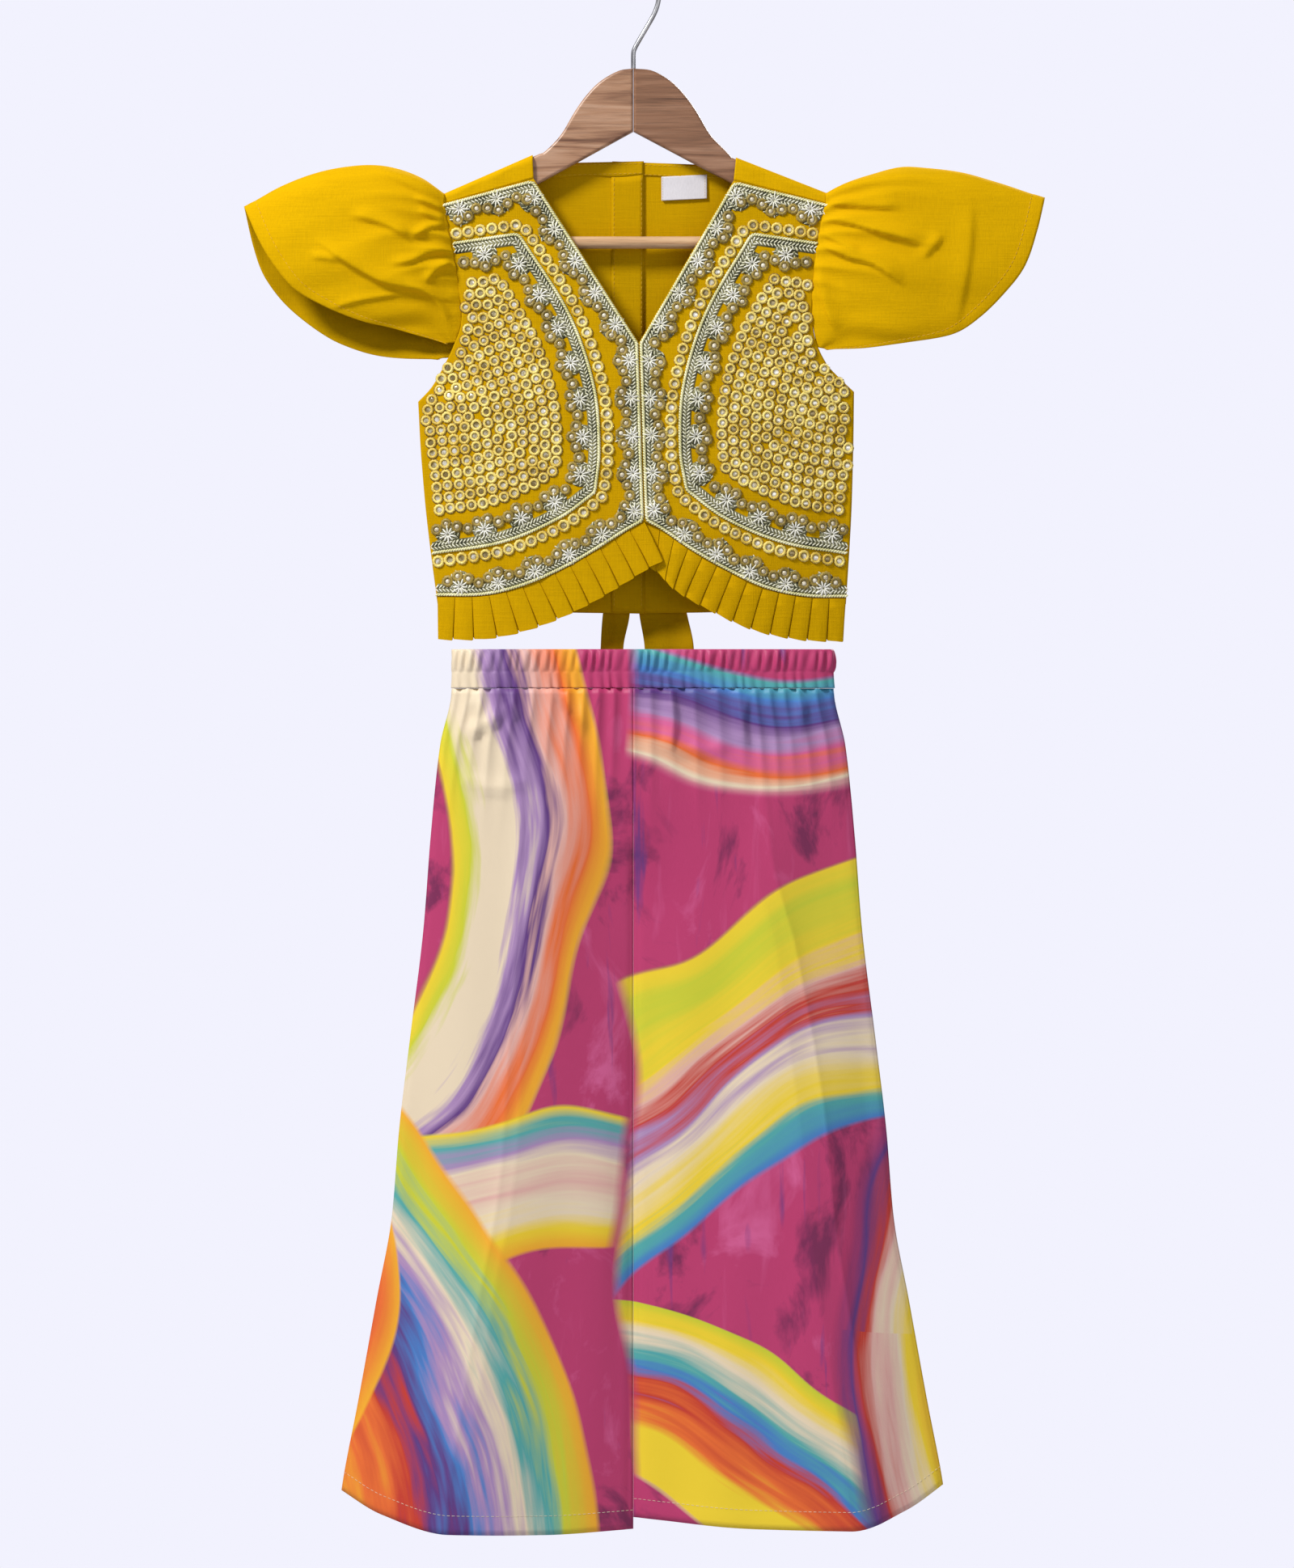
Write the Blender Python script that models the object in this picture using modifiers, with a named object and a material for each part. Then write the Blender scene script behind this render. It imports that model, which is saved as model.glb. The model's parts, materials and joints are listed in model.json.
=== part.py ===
"""A child's yellow top and printed palazzo on a wooden hanger, hung from the inner top of the hanger's hook.

Lengths are in millimetres here and become metres where a mesh is made. +Z is up and the front faces -Y.
Left and right are the viewer's. Heights run down from the hook, so they are negative."""

import math
from collections import namedtuple

import bmesh
import bpy
import numpy as np
from mathutils import Vector

MM = 0.001
LEFT, RIGHT = -1, 1
SIDE_NAME = {LEFT: "left", RIGHT: "right"}
FRONT, BACK = -1, 1

# Walls and clearances
GAP = 0.3
CLOTH = 1.2
FRILL_CLOTH = 1.0
BRAID = 1.0
LABEL = 0.8
SEAM_DEPTH = CLOTH + GAP / 2 + 0.05
LIFT = 0.45

# The top's middle leans a little to the right on its way down
NECK_HEIGHT = -158.0
LEAN_AT_NECK = -1.7
LEAN_SLOPE = 0.0204

# The shoulder's section: half its depth, and the radius of its two bends
SHOULDER_DEPTH = 9.0
SHOULDER_BEND = 5.0
BACK_SEAM_DROP = 6.5

# Placket at the middle of the back, where the right panel lies outside the left one
PLACKET_INNER_EDGE = 7.0
PLACKET_OUTER_EDGE = -20.0
PLACKET_EASE = (9.0, 45.0)
PLACKET_STEP = CLOTH + GAP + 0.1
BACK_NECK_HEIGHT = -162.5
BACK_HEM_HEIGHT = {"side": -541.0, "middle": -549.0}

FRILL_DEPTH = 34.5
FRILL_PLEATS = 13
FRILL_LAP = CLOTH + GAP

SLEEVE_GATHERS = 18
SLEEVE_GATHER_HEIGHT = 2.4
SLEEVE_PUFF = 10.0
SLEEVE_HEM_DEPTH = 14.0

# Rows of faces down a front or a back, half of them beside the armhole
TOP_ROWS = 14

BRAID_WIDTH = 10.0
LABEL_BOX = {"x": (21.4, 61.4), "z": (-196.6, -173.9)}

BUTTON_RADIUS = 5.5
BUTTON_THICKNESS = 2.2
BUTTON_X = -7.0
BUTTON_TOP = -181.0
BUTTON_PITCH = 77.0
BUTTONS = 4

KNOT = {"x": -2.0, "y": 22.2, "z": -452.0}
KNOT_RADII = (13.0, 5.5, 10.0)
SASH_END = 9.0

# Palazzo
CROTCH_HEIGHT = -805.0
PALAZZO_MIDDLE = -2.0
PALAZZO_SHIFT = 6.0
LEG_GAP = 0.6
WAIST_TOP = -579.6
WAIST_SEAM = -598.9
WAIST_BOTTOM = -612.7
WAIST_HALF = 163.0
WAIST_DEPTH = 12.0
WAIST_WALL = 1.6
WAIST_GATHERS = 48
WAIST_GATHER_HEIGHT = 1.4
WAIST_SQUARENESS = 4.0
LEG_GATHERS = 8
LEG_GATHER_HEIGHT = 1.8
LEG_GATHER_END = -735.0

# Hanger
WOOD = 12.0
WOOD_ROUNDING = 2.5
MITRE = -2.0
BAR_HEIGHT = -232.5
BAR_DIAMETER = 10.5
LOBE_INNER = 136.0
LOBE_OUTER = 153.0
LOBE_BOTTOM = -243.0
HOOK_WIRE = 4.0
HOOK_BEND = 20.0
HOOK_TIP_ANGLE = 172.0


def table(columns, *rows):
    """Rows of numbers under named columns."""
    row_type = namedtuple("Row", columns)
    return [row_type(*row) for row in rows]


NECK_POINT = {LEFT: (-88.0, -158.0), RIGHT: (85.6, -160.1)}
SHOULDER_TIP = {LEFT: (-163.5, -191.0), RIGHT: (163.0, -190.5)}
YOKE_SEAM = {
    LEFT: {"neck": (-86.9, -178.7), "tip": (-163.8, -199.4)},
    RIGHT: {"neck": (83.5, -180.1), "tip": (162.6, -199.4)},
}
NECK_BOTTOM = (2.8, -318.8)
FRONT_BOTTOM = (7.6, -471.3)

ARMHOLE = {
    LEFT: table(
        "x z", (-163.8, -199.4), (-158.7, -232.5), (-151.8, -267.0), (-148.6, -300.0),
        (-155.9, -322.2), (-166.3, -342.9), (-174.6, -356.7), (-185.6, -368.5),
    ),
    RIGHT: table(
        "x z", (162.6, -199.4), (155.9, -232.5), (151.8, -267.0), (150.5, -294.6),
        (153.2, -315.3), (162.8, -336.0), (175.3, -349.5), (186.3, -360.0),
    ),
}
SIDE_SEAM = {
    LEFT: table("x z", (-185.6, -368.5), (-183.0, -415.0), (-177.5, -475.0), (-169.1, -534.8)),
    RIGHT: table("x z", (186.3, -360.0), (185.5, -415.0), (183.5, -475.0), (179.4, -536.1)),
}
FRONT_HEM = {
    LEFT: table(
        "x z", (-169.1, -534.8), (-128.3, -534.1), (-93.8, -525.8), (-59.3, -510.6),
        (-31.7, -494.7), (-4.1, -477.5), (7.6, -471.3),
    ),
    RIGHT: table(
        "x z", (179.4, -536.1), (145.6, -535.4), (111.1, -528.5), (76.6, -512.7),
        (47.6, -496.1), (20.0, -477.5), (7.6, -471.3),
    ),
}

# How far the cloth stands from the middle plane, at its outer edge and at its middle
FRONT_FORM = table(
    "z edge crown", (-165, 9.0, 9.0), (-199, 9.0, 9.2), (-240, 9.0, 12.0), (-262, 8.6, 13.2),
    (-318, 5.0, 16.0), (-345, 2.3, 18.0), (-358, SEAM_DEPTH, 18.6), (-470, SEAM_DEPTH, 19.0),
    (-550, SEAM_DEPTH, 17.0),
)
BACK_FORM = table(
    "z edge crown", (-165, 9.0, 9.0), (-199, 9.0, 9.6), (-262, 8.6, 12.0), (-318, 5.0, 13.0),
    (-345, 2.3, 13.2), (-358, SEAM_DEPTH, 13.4), (-550, SEAM_DEPTH, 13.4),
)

SLEEVE_FOLD = {
    LEFT: table(
        "x z", (-163.8, -191.0), (-183.5, -177.3), (-211.1, -167.7), (-235.3, -166.3),
        (-266.3, -172.5), (-300.8, -185.6), (-334.0, -202.2),
    ),
    RIGHT: table(
        "x z", (163.3, -190.5), (178.7, -182.2), (201.5, -174.6), (227.0, -168.0),
        (249.1, -169.1), (277.4, -173.9), (305.7, -182.2), (349.1, -194.6),
    ),
}
SLEEVE_HEM = {
    (LEFT, FRONT): table(
        "x z", (-334.0, -202.2), (-320.9, -231.2), (-307.1, -253.9), (-289.8, -273.9),
        (-265.0, -287.7), (-236.7, -298.8), (-208.4, -305.7), (-180.1, -313.3), (-162.2, -319.0),
    ),
    (LEFT, BACK): table(
        "x z", (-334.0, -202.2), (-326.4, -236.7), (-316.7, -262.2), (-296.0, -287.7),
        (-262.2, -313.3), (-236.7, -324.3), (-208.4, -330.5), (-169.0, -332.0),
    ),
    (RIGHT, FRONT): table(
        "x z", (349.1, -194.6), (342.2, -222.9), (331.2, -253.9), (314.0, -276.7),
        (294.6, -296.0), (271.9, -310.5), (235.3, -317.4), (198.7, -322.2), (163.0, -324.0),
    ),
    (RIGHT, BACK): table(
        "x z", (349.1, -194.6), (342.0, -224.0), (330.0, -255.0), (312.0, -278.0),
        (291.0, -297.0), (268.0, -309.0), (235.0, -315.0), (198.0, -318.0), (161.0, -319.0),
    ),
}
SLEEVE_SEAM_END = {
    (LEFT, FRONT): -318.0, (LEFT, BACK): -330.5, (RIGHT, FRONT): -322.0, (RIGHT, BACK): -317.5,
}

# The inner braid of each front runs across, turns a corner, runs down, turns again and runs out
INNER_BRAID = {
    LEFT: (
        table("x z", (-154.0, -237.5), (-102.0, -230.0)),
        table("x z", (-102.0, -230.0), (-60.5, -296.0), (-39.5, -357.0), (-35.0, -411.0), (-38.5, -444.0)),
        table("x z", (-38.5, -444.0), (-67.0, -464.5), (-115.0, -484.5), (-173.0, -493.5)),
    ),
    RIGHT: (
        table("x z", (153.0, -237.5), (101.0, -230.0)),
        table("x z", (101.0, -230.0), (63.0, -296.0), (44.5, -357.0), (42.0, -411.0), (47.0, -442.0)),
        table("x z", (47.0, -442.0), (78.0, -464.5), (126.0, -484.5), (179.5, -493.5)),
    ),
}

SASH_BAND = table("x top bottom", (176.0, -430.0, -470.0), (90.0, -437.0, -468.0), (SASH_END, -446.0, -459.0))
SASH_TAIL = {
    LEFT: table(
        "z x width y", (-463.0, -6.8, 9.0, 23.0), (-478.0, -8.0, 14.0, 19.4), (-505.0, -12.5, 20.0, 17.4),
        (-551.0, -16.8, 23.0, 17.2), (-578.0, -20.2, 19.5, 10.0), (-640.0, -22.0, 19.0, 9.9),
        (-692.0, -24.0, 19.0, 9.9),
    ),
    RIGHT: table(
        "z x width y", (-463.0, 3.0, 9.0, 23.0), (-478.0, 8.0, 18.0, 19.4), (-505.0, 16.0, 32.0, 17.4),
        (-551.0, 23.8, 41.0, 17.2), (-578.0, 28.6, 42.0, 10.0), (-640.0, 31.0, 40.0, 9.9),
        (-688.0, 33.0, 40.0, 9.9),
    ),
}

PALAZZO_SIDE = table(
    "z half", (-580, 163.0), (-613, 163.0), (-662, 173.0), (-740, 181.0), (-817, 187.0), (-915, 199.0),
    (-991, 208.0), (-1063, 214.0), (-1134, 227.0), (-1222, 243.0), (-1290, 256.0), (-1335, 262.0),
)
# Place of the pressed crease, as a share of the leg's width from the middle, and how far it stands out
PALAZZO_CREASE = {
    LEFT: table("z share", (-613, 0.51), (-991, 0.49), (-1130, 0.545), (-1330, 0.59)),
    RIGHT: table("z share", (-613, 0.56), (-750, 0.54), (-840, 0.62), (-1060, 0.67), (-1330, 0.69)),
}
LEG_FORM = table("z whole crease", (-613, 12.0, 12.0), (-805, 13.5, 15.0), (-1000, 14.0, 21.0), (-1335, 15.0, 30.0))
PALAZZO_HEM = {
    LEFT: table("share z", (0.0, -1330.0), (0.3, -1334.0), (0.62, -1333.0), (0.85, -1317.0), (1.0, -1297.0)),
    RIGHT: table("share z", (0.0, -1320.0), (0.4, -1329.0), (0.69, -1330.0), (0.87, -1313.0), (1.0, -1292.0)),
}

HANGER_TOP = table("x z", (14.0, -86.0), (30.0, -95.0), (42.0, -107.0), (52.0, -121.0), (64.0, -141.0), (78.0, -155.6))
HANGER_CROWN = -84.2
HANGER_UNDERSIDE = table("x z", (136.0, -214.0), (128.0, -207.0), (100.0, -192.0))
HANGER_APEX = -138.0

Finish = namedtuple("Finish", "colour roughness metallic")
FINISHES = {
    "cotton": Finish((0.78, 0.44, 0.007), 0.85, 0.0),
    "sash": Finish((0.60, 0.32, 0.006), 0.85, 0.0),
    "braid": Finish((0.66, 0.62, 0.30), 0.55, 0.1),
    "label": Finish((0.88, 0.88, 0.90), 0.6, 0.0),
    "print": Finish((0.58, 0.03, 0.19), 0.6, 0.0),
    "pale_wood": Finish((0.47, 0.24, 0.12), 0.5, 0.0),
    "dark_wood": Finish((0.33, 0.16, 0.08), 0.5, 0.0),
    "bar_wood": Finish((0.62, 0.37, 0.19), 0.5, 0.0),
    "steel": Finish((0.50, 0.50, 0.50), 0.3, 1.0),
    "button": Finish((0.72, 0.45, 0.05), 0.35, 0.0),
}


def smooth(value, low, high):
    """0 below low, 1 above high, with a soft rise between them."""
    share = min(1.0, max(0.0, (value - low) / (high - low)))
    return share * share * (3.0 - 2.0 * share)


def hermite(start, end, rise_start, rise_end, t):
    """A cubic between two values, or two points, with the given rise at each."""
    t2 = t * t
    t3 = t2 * t
    return (
        start * (2 * t3 - 3 * t2 + 1) + rise_start * (t3 - 2 * t2 + t)
        + end * (3 * t2 - 2 * t3) + rise_end * (t3 - t2)
    )


def level(rows, key, column, by="z"):
    """A table's column where its key column has this value, with no overshoot between the rows."""
    keys = [getattr(row, by) for row in rows]
    values = [getattr(row, column) for row in rows]
    if keys[0] > keys[-1]:
        keys.reverse()
        values.reverse()
    if key <= keys[0]:
        return values[0]
    if key >= keys[-1]:
        return values[-1]
    slopes = [(values[k + 1] - values[k]) / (keys[k + 1] - keys[k]) for k in range(len(keys) - 1)]

    def tangent(k):
        before = slopes[max(0, k - 1)]
        after = slopes[min(k, len(slopes) - 1)]
        return 0.0 if before * after <= 0 else 2 * before * after / (before + after)

    i = max(k for k in range(len(slopes)) if keys[k] <= key)
    span = keys[i + 1] - keys[i]
    return hermite(values[i], values[i + 1], tangent(i) * span, tangent(i + 1) * span, (key - keys[i]) / span)


def along(rows, share, straight=False):
    """The point at this share of the way along a smooth curve, or a straight-sided line, through the rows."""
    points = [Vector(row) for row in rows]
    spans = [(b - a).length for a, b in zip(points, points[1:])]
    reach = share * sum(spans)
    i = 0
    while i < len(spans) - 1 and reach > spans[i]:
        reach -= spans[i]
        i += 1
    if straight:
        return points[i].lerp(points[i + 1], reach / spans[i])

    def tangent(k):
        low, high = max(0, k - 1), min(len(points) - 1, k + 1)
        return (points[high] - points[low]) / sum(spans[low:high])

    return hermite(points[i], points[i + 1], tangent(i) * spans[i], tangent(i + 1) * spans[i], reach / spans[i])


def joined(first, second):
    """An edge of two curves, the first up to its half."""
    return lambda share: along(first, 2 * share) if share < 0.5 else along(second, 2 * share - 1)


def patch(top, bottom, outer, inner):
    """The flat surface between four edges. u runs from the outer edge to the inner one, v from the top down."""

    def place(u, v):
        across = outer(v).lerp(inner(v), u)
        down = top(u).lerp(bottom(u), v)
        corners = outer(0).lerp(inner(0), u).lerp(outer(1).lerp(inner(1), u), v)
        return across + down - corners

    return place


def raised(place, height, facing):
    """A surface moved out along its own normal by a height that depends on u and v."""
    step = 0.002

    def moved(u, v):
        u_low, u_high = max(0.0, u - step), min(1.0, u + step)
        v_low, v_high = max(0.0, v - step), min(1.0, v + step)
        normal = (place(u_high, v) - place(u_low, v)).cross(place(u, v_high) - place(u, v_low)).normalized()
        return place(u, v) + normal * (height(u, v) * facing)

    return moved


def lean(z):
    return LEAN_AT_NECK + (NECK_HEIGHT - z) * LEAN_SLOPE


def top_depth(form, side, x, z):
    """Depth of the top's outer face from the middle plane."""
    middle = lean(z)
    half = abs(level(ARMHOLE[side] + SIDE_SEAM[side][1:], z, "x") - middle)
    share = min(1.0, abs(x - middle) / half)
    edge = level(form, z, "edge")
    return edge + (level(form, z, "crown") - edge) * (1.0 - share**2.5)


def new_collection():
    for old in list(bpy.data.objects):
        bpy.data.objects.remove(old)
    collection = bpy.data.collections.new("top_and_palazzo_set")
    bpy.context.scene.collection.children.link(collection)
    return collection


def finish(obj, kind):
    """Gives the object its own material and links it to the set's collection."""
    look = FINISHES[kind]
    material = bpy.data.materials.new(obj.name + "_" + kind)
    material.use_nodes = True
    shader = material.node_tree.nodes["Principled BSDF"]
    shader.inputs["Base Color"].default_value = (*look.colour, 1.0)
    shader.inputs["Roughness"].default_value = look.roughness
    shader.inputs["Metallic"].default_value = look.metallic
    material.diffuse_color = (*look.colour, 1.0)
    obj.data.materials.clear()
    obj.data.materials.append(material)
    COLLECTION.objects.link(obj)
    return obj


def mesh_object(name, bm, kind, smooth_angle=40.0):
    mesh = bpy.data.meshes.new(name)
    bm.to_mesh(mesh)
    bm.free()
    mesh.shade_smooth()
    mesh.set_sharp_from_angle(angle=math.radians(smooth_angle))
    return finish(bpy.data.objects.new(name, mesh), kind)


def sheet(name, columns, rows, place, facing, kind="cotton", wall=CLOTH):
    """A cloth wall whose outer face follows place(u, v), with its middle facing the given way."""
    bm = bmesh.new()
    bmesh.ops.create_grid(bm, x_segments=columns, y_segments=rows, size=0.5)
    for vert in bm.verts:
        u = min(1.0, max(0.0, vert.co.x + 0.5))
        v = min(1.0, max(0.0, 0.5 - vert.co.y))
        vert.co = place(round(u * columns) / columns, round(v * rows) / rows) * MM
    bm.normal_update()
    middle = place(0.5, 0.5) * MM
    nearest = min(bm.faces, key=lambda face: (face.calc_center_median() - middle).length)
    if nearest.normal.dot(Vector(facing)) < 0:
        bmesh.ops.reverse_faces(bm, faces=bm.faces[:])
    obj = mesh_object(name, bm, kind)
    solidify = obj.modifiers.new("wall", "SOLIDIFY")
    solidify.thickness = wall * MM
    solidify.offset = -1.0
    solidify.use_even_offset = True
    solidify.use_quality_normals = True
    return obj


def armhole(side, layer):
    """The armhole's curve on the front or the back, from the yoke down to the underarm."""
    if layer == FRONT:
        return ARMHOLE[side]
    tip_x, tip_z = SHOULDER_TIP[side]
    return [(tip_x, tip_z - BACK_SEAM_DROP - GAP)] + ARMHOLE[side][1:]


def front_patch(side):
    """The front of one side, between its yoke seam, neck and middle, hem, and armhole and side."""
    shift = side * GAP / 2
    neck = (YOKE_SEAM[side]["neck"], NECK_BOTTOM)
    middle = (NECK_BOTTOM, FRONT_BOTTOM)
    seam = (YOKE_SEAM[side]["tip"], YOKE_SEAM[side]["neck"])
    flat = patch(
        lambda u: along(seam, u),
        lambda u: along(FRONT_HEM[side], u),
        joined(armhole(side, FRONT), SIDE_SEAM[side]),
        joined(neck, middle),
    )

    def place(u, v):
        point = flat(u, v)
        x, z = point.x + shift * smooth(u, 0.8, 1.0), point.y - GAP / 2 * (1.0 - v)
        return Vector((x, -top_depth(FRONT_FORM, side, x, z), z))

    return place


def make_fronts():
    for side in (LEFT, RIGHT):
        sheet("top_front_" + SIDE_NAME[side], 10, TOP_ROWS, front_patch(side), (0, -1, 0))


def placket_step(side, x):
    """How far the right back stands outside the left one where they lap."""
    return 0.0 if side == LEFT else PLACKET_STEP * (1.0 - smooth(x, *PLACKET_EASE))


def back_patch(side):
    """The back of one side, up to the shoulder seam and the neck, and past the middle at the placket."""
    neck_x, neck_z = NECK_POINT[side]
    tip_x, tip_z = SHOULDER_TIP[side]
    lap_x = PLACKET_INNER_EDGE if side == LEFT else PLACKET_OUTER_EDGE
    below = BACK_SEAM_DROP + GAP
    shoulder = ((tip_x, tip_z - below), (neck_x, neck_z - below))
    neck = ((neck_x, neck_z - below), (lap_x, BACK_NECK_HEIGHT))
    hem = (
        (SIDE_SEAM[side][-1].x, BACK_HEM_HEIGHT["side"]),
        (side * 90.0, BACK_HEM_HEIGHT["middle"] + 2.0),
        (lap_x, BACK_HEM_HEIGHT["middle"]),
    )
    side_seam = SIDE_SEAM[side][:-1] + [hem[0]]
    flat = patch(
        joined(shoulder, neck),
        lambda u: along(hem, u),
        joined(armhole(side, BACK), side_seam),
        lambda v: along(((lap_x, BACK_NECK_HEIGHT), hem[-1]), v),
    )

    def place(u, v):
        x, z = flat(u, v)
        return Vector((x, top_depth(BACK_FORM, side, x, z) + placket_step(side, x), z))

    return place


def make_backs():
    for side in (LEFT, RIGHT):
        sheet("top_back_" + SIDE_NAME[side], 10, TOP_ROWS, back_patch(side), (0, 1, 0))


def shoulder_ridge(side, share):
    """A point of the shoulder's top line, from the neck to the tip."""
    return along((NECK_POINT[side], SHOULDER_TIP[side]), share)


def shoulder_section(front_drop, back_drop):
    """The bend of the cloth over the shoulder, as depth and drop, from the front seam to the back one."""
    flat = SHOULDER_DEPTH - SHOULDER_BEND
    bend = [
        (flat + SHOULDER_BEND * math.sin(math.radians(a)), SHOULDER_BEND * (1 - math.cos(math.radians(a))))
        for a in (90, 60, 30, 0)
    ]
    front = [(-SHOULDER_DEPTH, front_drop)] + [(-depth, drop) for depth, drop in bend]
    back = [(depth, drop) for depth, drop in reversed(bend)] + [(SHOULDER_DEPTH, back_drop)]
    return front + back


def make_yokes():
    rows = len(shoulder_section(1, 1)) - 1
    for side in (LEFT, RIGHT):

        def place(u, v, side=side):
            ridge = shoulder_ridge(side, u)
            seam = along((YOKE_SEAM[side]["neck"], YOKE_SEAM[side]["tip"]), u)
            drop = ridge.y - seam.y - GAP / 2
            depth, fall = shoulder_section(drop, BACK_SEAM_DROP)[round(v * rows)]
            x = ridge.x + (seam.x - ridge.x) * (fall / drop if v < 0.5 else 0.0)
            return Vector((x, depth, ridge.y - fall))

        sheet("yoke_" + SIDE_NAME[side], 8, rows, place, (0, 0, 1))


def sleeve_seam(side, layer):
    """The seam loop of the sleeve's front or back layer, from the shoulder's ridge down the armhole."""
    tip_x, tip_z = SHOULDER_TIP[side]
    out = side * (GAP + 0.1)
    over = [(tip_x + out, 0.0, tip_z)] + [
        (tip_x + out, layer * depth, tip_z - drop) for depth, drop in shoulder_section(9, 9)[5:9]
    ]
    end = SLEEVE_SEAM_END[side, layer]
    form = FRONT_FORM if layer == FRONT else BACK_FORM
    half = TOP_ROWS // 2
    edge = [along(armhole(side, layer), i / half) for i in range(half + 1)]
    first_below = next(i for i, point in enumerate(edge) if point.y < end)
    above, below = edge[first_below - 1], edge[first_below]
    last = above.lerp(below, (above.y - end) / (above.y - below.y))
    down = [(x + out, layer * level(form, z, "edge"), z) for x, z in edge[:first_below] + [last]]
    return over + down


def sleeve_place(side):
    seams = {layer: sleeve_seam(side, layer) for layer in (FRONT, BACK)}
    fold = SLEEVE_FOLD[side]

    def place(u, v):
        layer = FRONT if u < 0.5 else BACK
        down = abs(2 * u - 1)
        seam = along(seams[layer], down, straight=True)
        hem = along(SLEEVE_HEM[side, layer], down)
        end_depth = abs(seams[layer][-1][1])
        hem_depth = end_depth * down + SLEEVE_HEM_DEPTH * math.sin(math.pi * down**0.6)
        straight = Vector((seam.x, seam.z)).lerp(hem, v)
        bulge = along(fold, v) - Vector(fold[0]).lerp(Vector(fold[-1]), v)
        flat = straight + bulge * (1 - down) ** 1.5
        puff = SLEEVE_PUFF * 4 * v * (1 - v) * math.sin(math.pi * down**0.7)
        return Vector((flat.x, seam.y * (1 - v) + layer * (hem_depth * v + puff), flat.y))

    def gather(u, v):
        wave = 0.5 - 0.5 * math.cos(2 * math.pi * SLEEVE_GATHERS * u)
        fade = 1.0 - smooth(v, 0.05, 0.75)
        return SLEEVE_GATHER_HEIGHT * wave * (0.12 + 0.88 * fade) * smooth(v, -0.1, 0.08)

    return raised(place, gather, side)


def make_sleeves():
    for side in (LEFT, RIGHT):
        sheet("sleeve_" + SIDE_NAME[side], 2 * SLEEVE_GATHERS, 8, sleeve_place(side), (0, 0, 1))


def frill_place(side):
    """Knife pleats that hang square to the front's hem. The left frill laps over the right one at the middle."""
    step = 0.004

    def place(u, v):
        hem = along(FRONT_HEM[side], u)
        run = along(FRONT_HEM[side], min(1.0, u + step)) - along(FRONT_HEM[side], max(0.0, u - step))
        down = Vector((run.y, -run.x)).normalized()
        if down.y > 0:
            down = -down
        if side == RIGHT:
            down = down.lerp(Vector((0.0, -1.0)), smooth(u, 0.6, 1.0)).normalized()
        point = hem + down * (GAP + (FRILL_DEPTH - GAP) * v)
        pleat = (u * FRILL_PLEATS) % 1.0
        fold = pleat / 0.8 if pleat < 0.8 else (1.0 - pleat) / 0.2
        hidden = smooth(u, 0.8, 0.98) if side == RIGHT else 0.0
        out = (0.9 + 2.1 * v) * fold * (1.0 - hidden) - FRILL_LAP * hidden
        out += 1.5 * v * (smooth(u, 0.75, 1.0) if side == LEFT else 0.0)
        base = top_depth(FRONT_FORM, side, hem.x, hem.y)
        return Vector((point.x, -base - out, point.y))

    return place


def make_frills():
    for side in (LEFT, RIGHT):
        place = frill_place(side)

        def stepped(u, v, place=place):
            """Only the columns at each pleat's two folds."""
            pleat, part = divmod(round(u * 2 * FRILL_PLEATS), 2)
            return place(min(1.0, (pleat + (0.8 if part else 0.0)) / FRILL_PLEATS), v)

        sheet("frill_" + SIDE_NAME[side], 2 * FRILL_PLEATS, 3, stepped, (0, -1, 0), wall=FRILL_CLOTH)


def ribbon_edges(path, width):
    """The two edges of a flat ribbon along a path of x and z, mitred at its corners."""
    edges = []
    for i, point in enumerate(path):
        before = (point - path[i - 1]).normalized() if i else None
        after = (path[i + 1] - point).normalized() if i < len(path) - 1 else None
        before = before or after
        after = after or before
        across_before = Vector((-before.y, before.x))
        across_after = Vector((-after.y, after.x))
        mitre = (across_before + across_after).normalized()
        reach = width / 2 / max(0.5, mitre.dot(across_after))
        edges.append((point - mitre * reach, point + mitre * reach))
    return edges


def braid(name, side, path):
    """A braid laid on the front along the path, made from the front's own face moved out."""
    edges = ribbon_edges(path, BRAID_WIDTH)
    rows = len(edges) - 1

    def place(u, v):
        edge, other = edges[round(v * rows)]
        x, z = edge.lerp(other, u)
        return Vector((x, -top_depth(FRONT_FORM, side, x, z) - LIFT - BRAID, z))

    sheet(name, 2, rows, place, (0, -1, 0), kind="braid", wall=BRAID)


def front_border(side):
    """The middle of the outer braid, inside the front's yoke seam, neck, middle and hem."""
    surface = front_patch(side)
    inset = BRAID_WIDTH / 2 + 0.8

    def flat(u, v):
        point = surface(u, v)
        return Vector((point.x, point.z))

    def inside(u, v, toward):
        point = flat(u, v)
        run = flat(*toward) - point
        return point + run.normalized() * inset

    def corner(u, v, along_u, along_v):
        point = flat(u, v)
        to_u = (flat(*along_u) - point).normalized()
        to_v = (flat(*along_v) - point).normalized()
        spread = max(0.5, math.sin(to_u.angle(to_v)))
        return point + (to_u + to_v) * (inset / spread)

    step = 0.05
    path = [inside(u, 0.0, (u, step)) for u in (0.01, 0.35, 0.7)]
    path.append(corner(1.0, 0.0, (1.0 - step, 0.0), (1.0, step)))
    path += [inside(1.0, v / 20, (1.0 - step, v / 20)) for v in range(2, 19)]
    path.append(corner(1.0, 1.0, (1.0 - step, 1.0), (1.0, 1.0 - step)))
    path += [inside(u / 16, 1.0, (u / 16, 1.0 - step)) for u in range(15, 0, -1)]
    path.append(inside(0.006, 1.0, (0.006, 1.0 - step)))
    return path


def make_braids():
    for side in (LEFT, RIGHT):
        braid("braid_outer_" + SIDE_NAME[side], side, front_border(side))
        path = []
        for leg, pieces in zip(INNER_BRAID[side], (4, 12, 9)):
            path += [along(leg, i / pieces) for i in range(0 if not path else 1, pieces + 1)]
        braid("braid_inner_" + SIDE_NAME[side], side, path)


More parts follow.
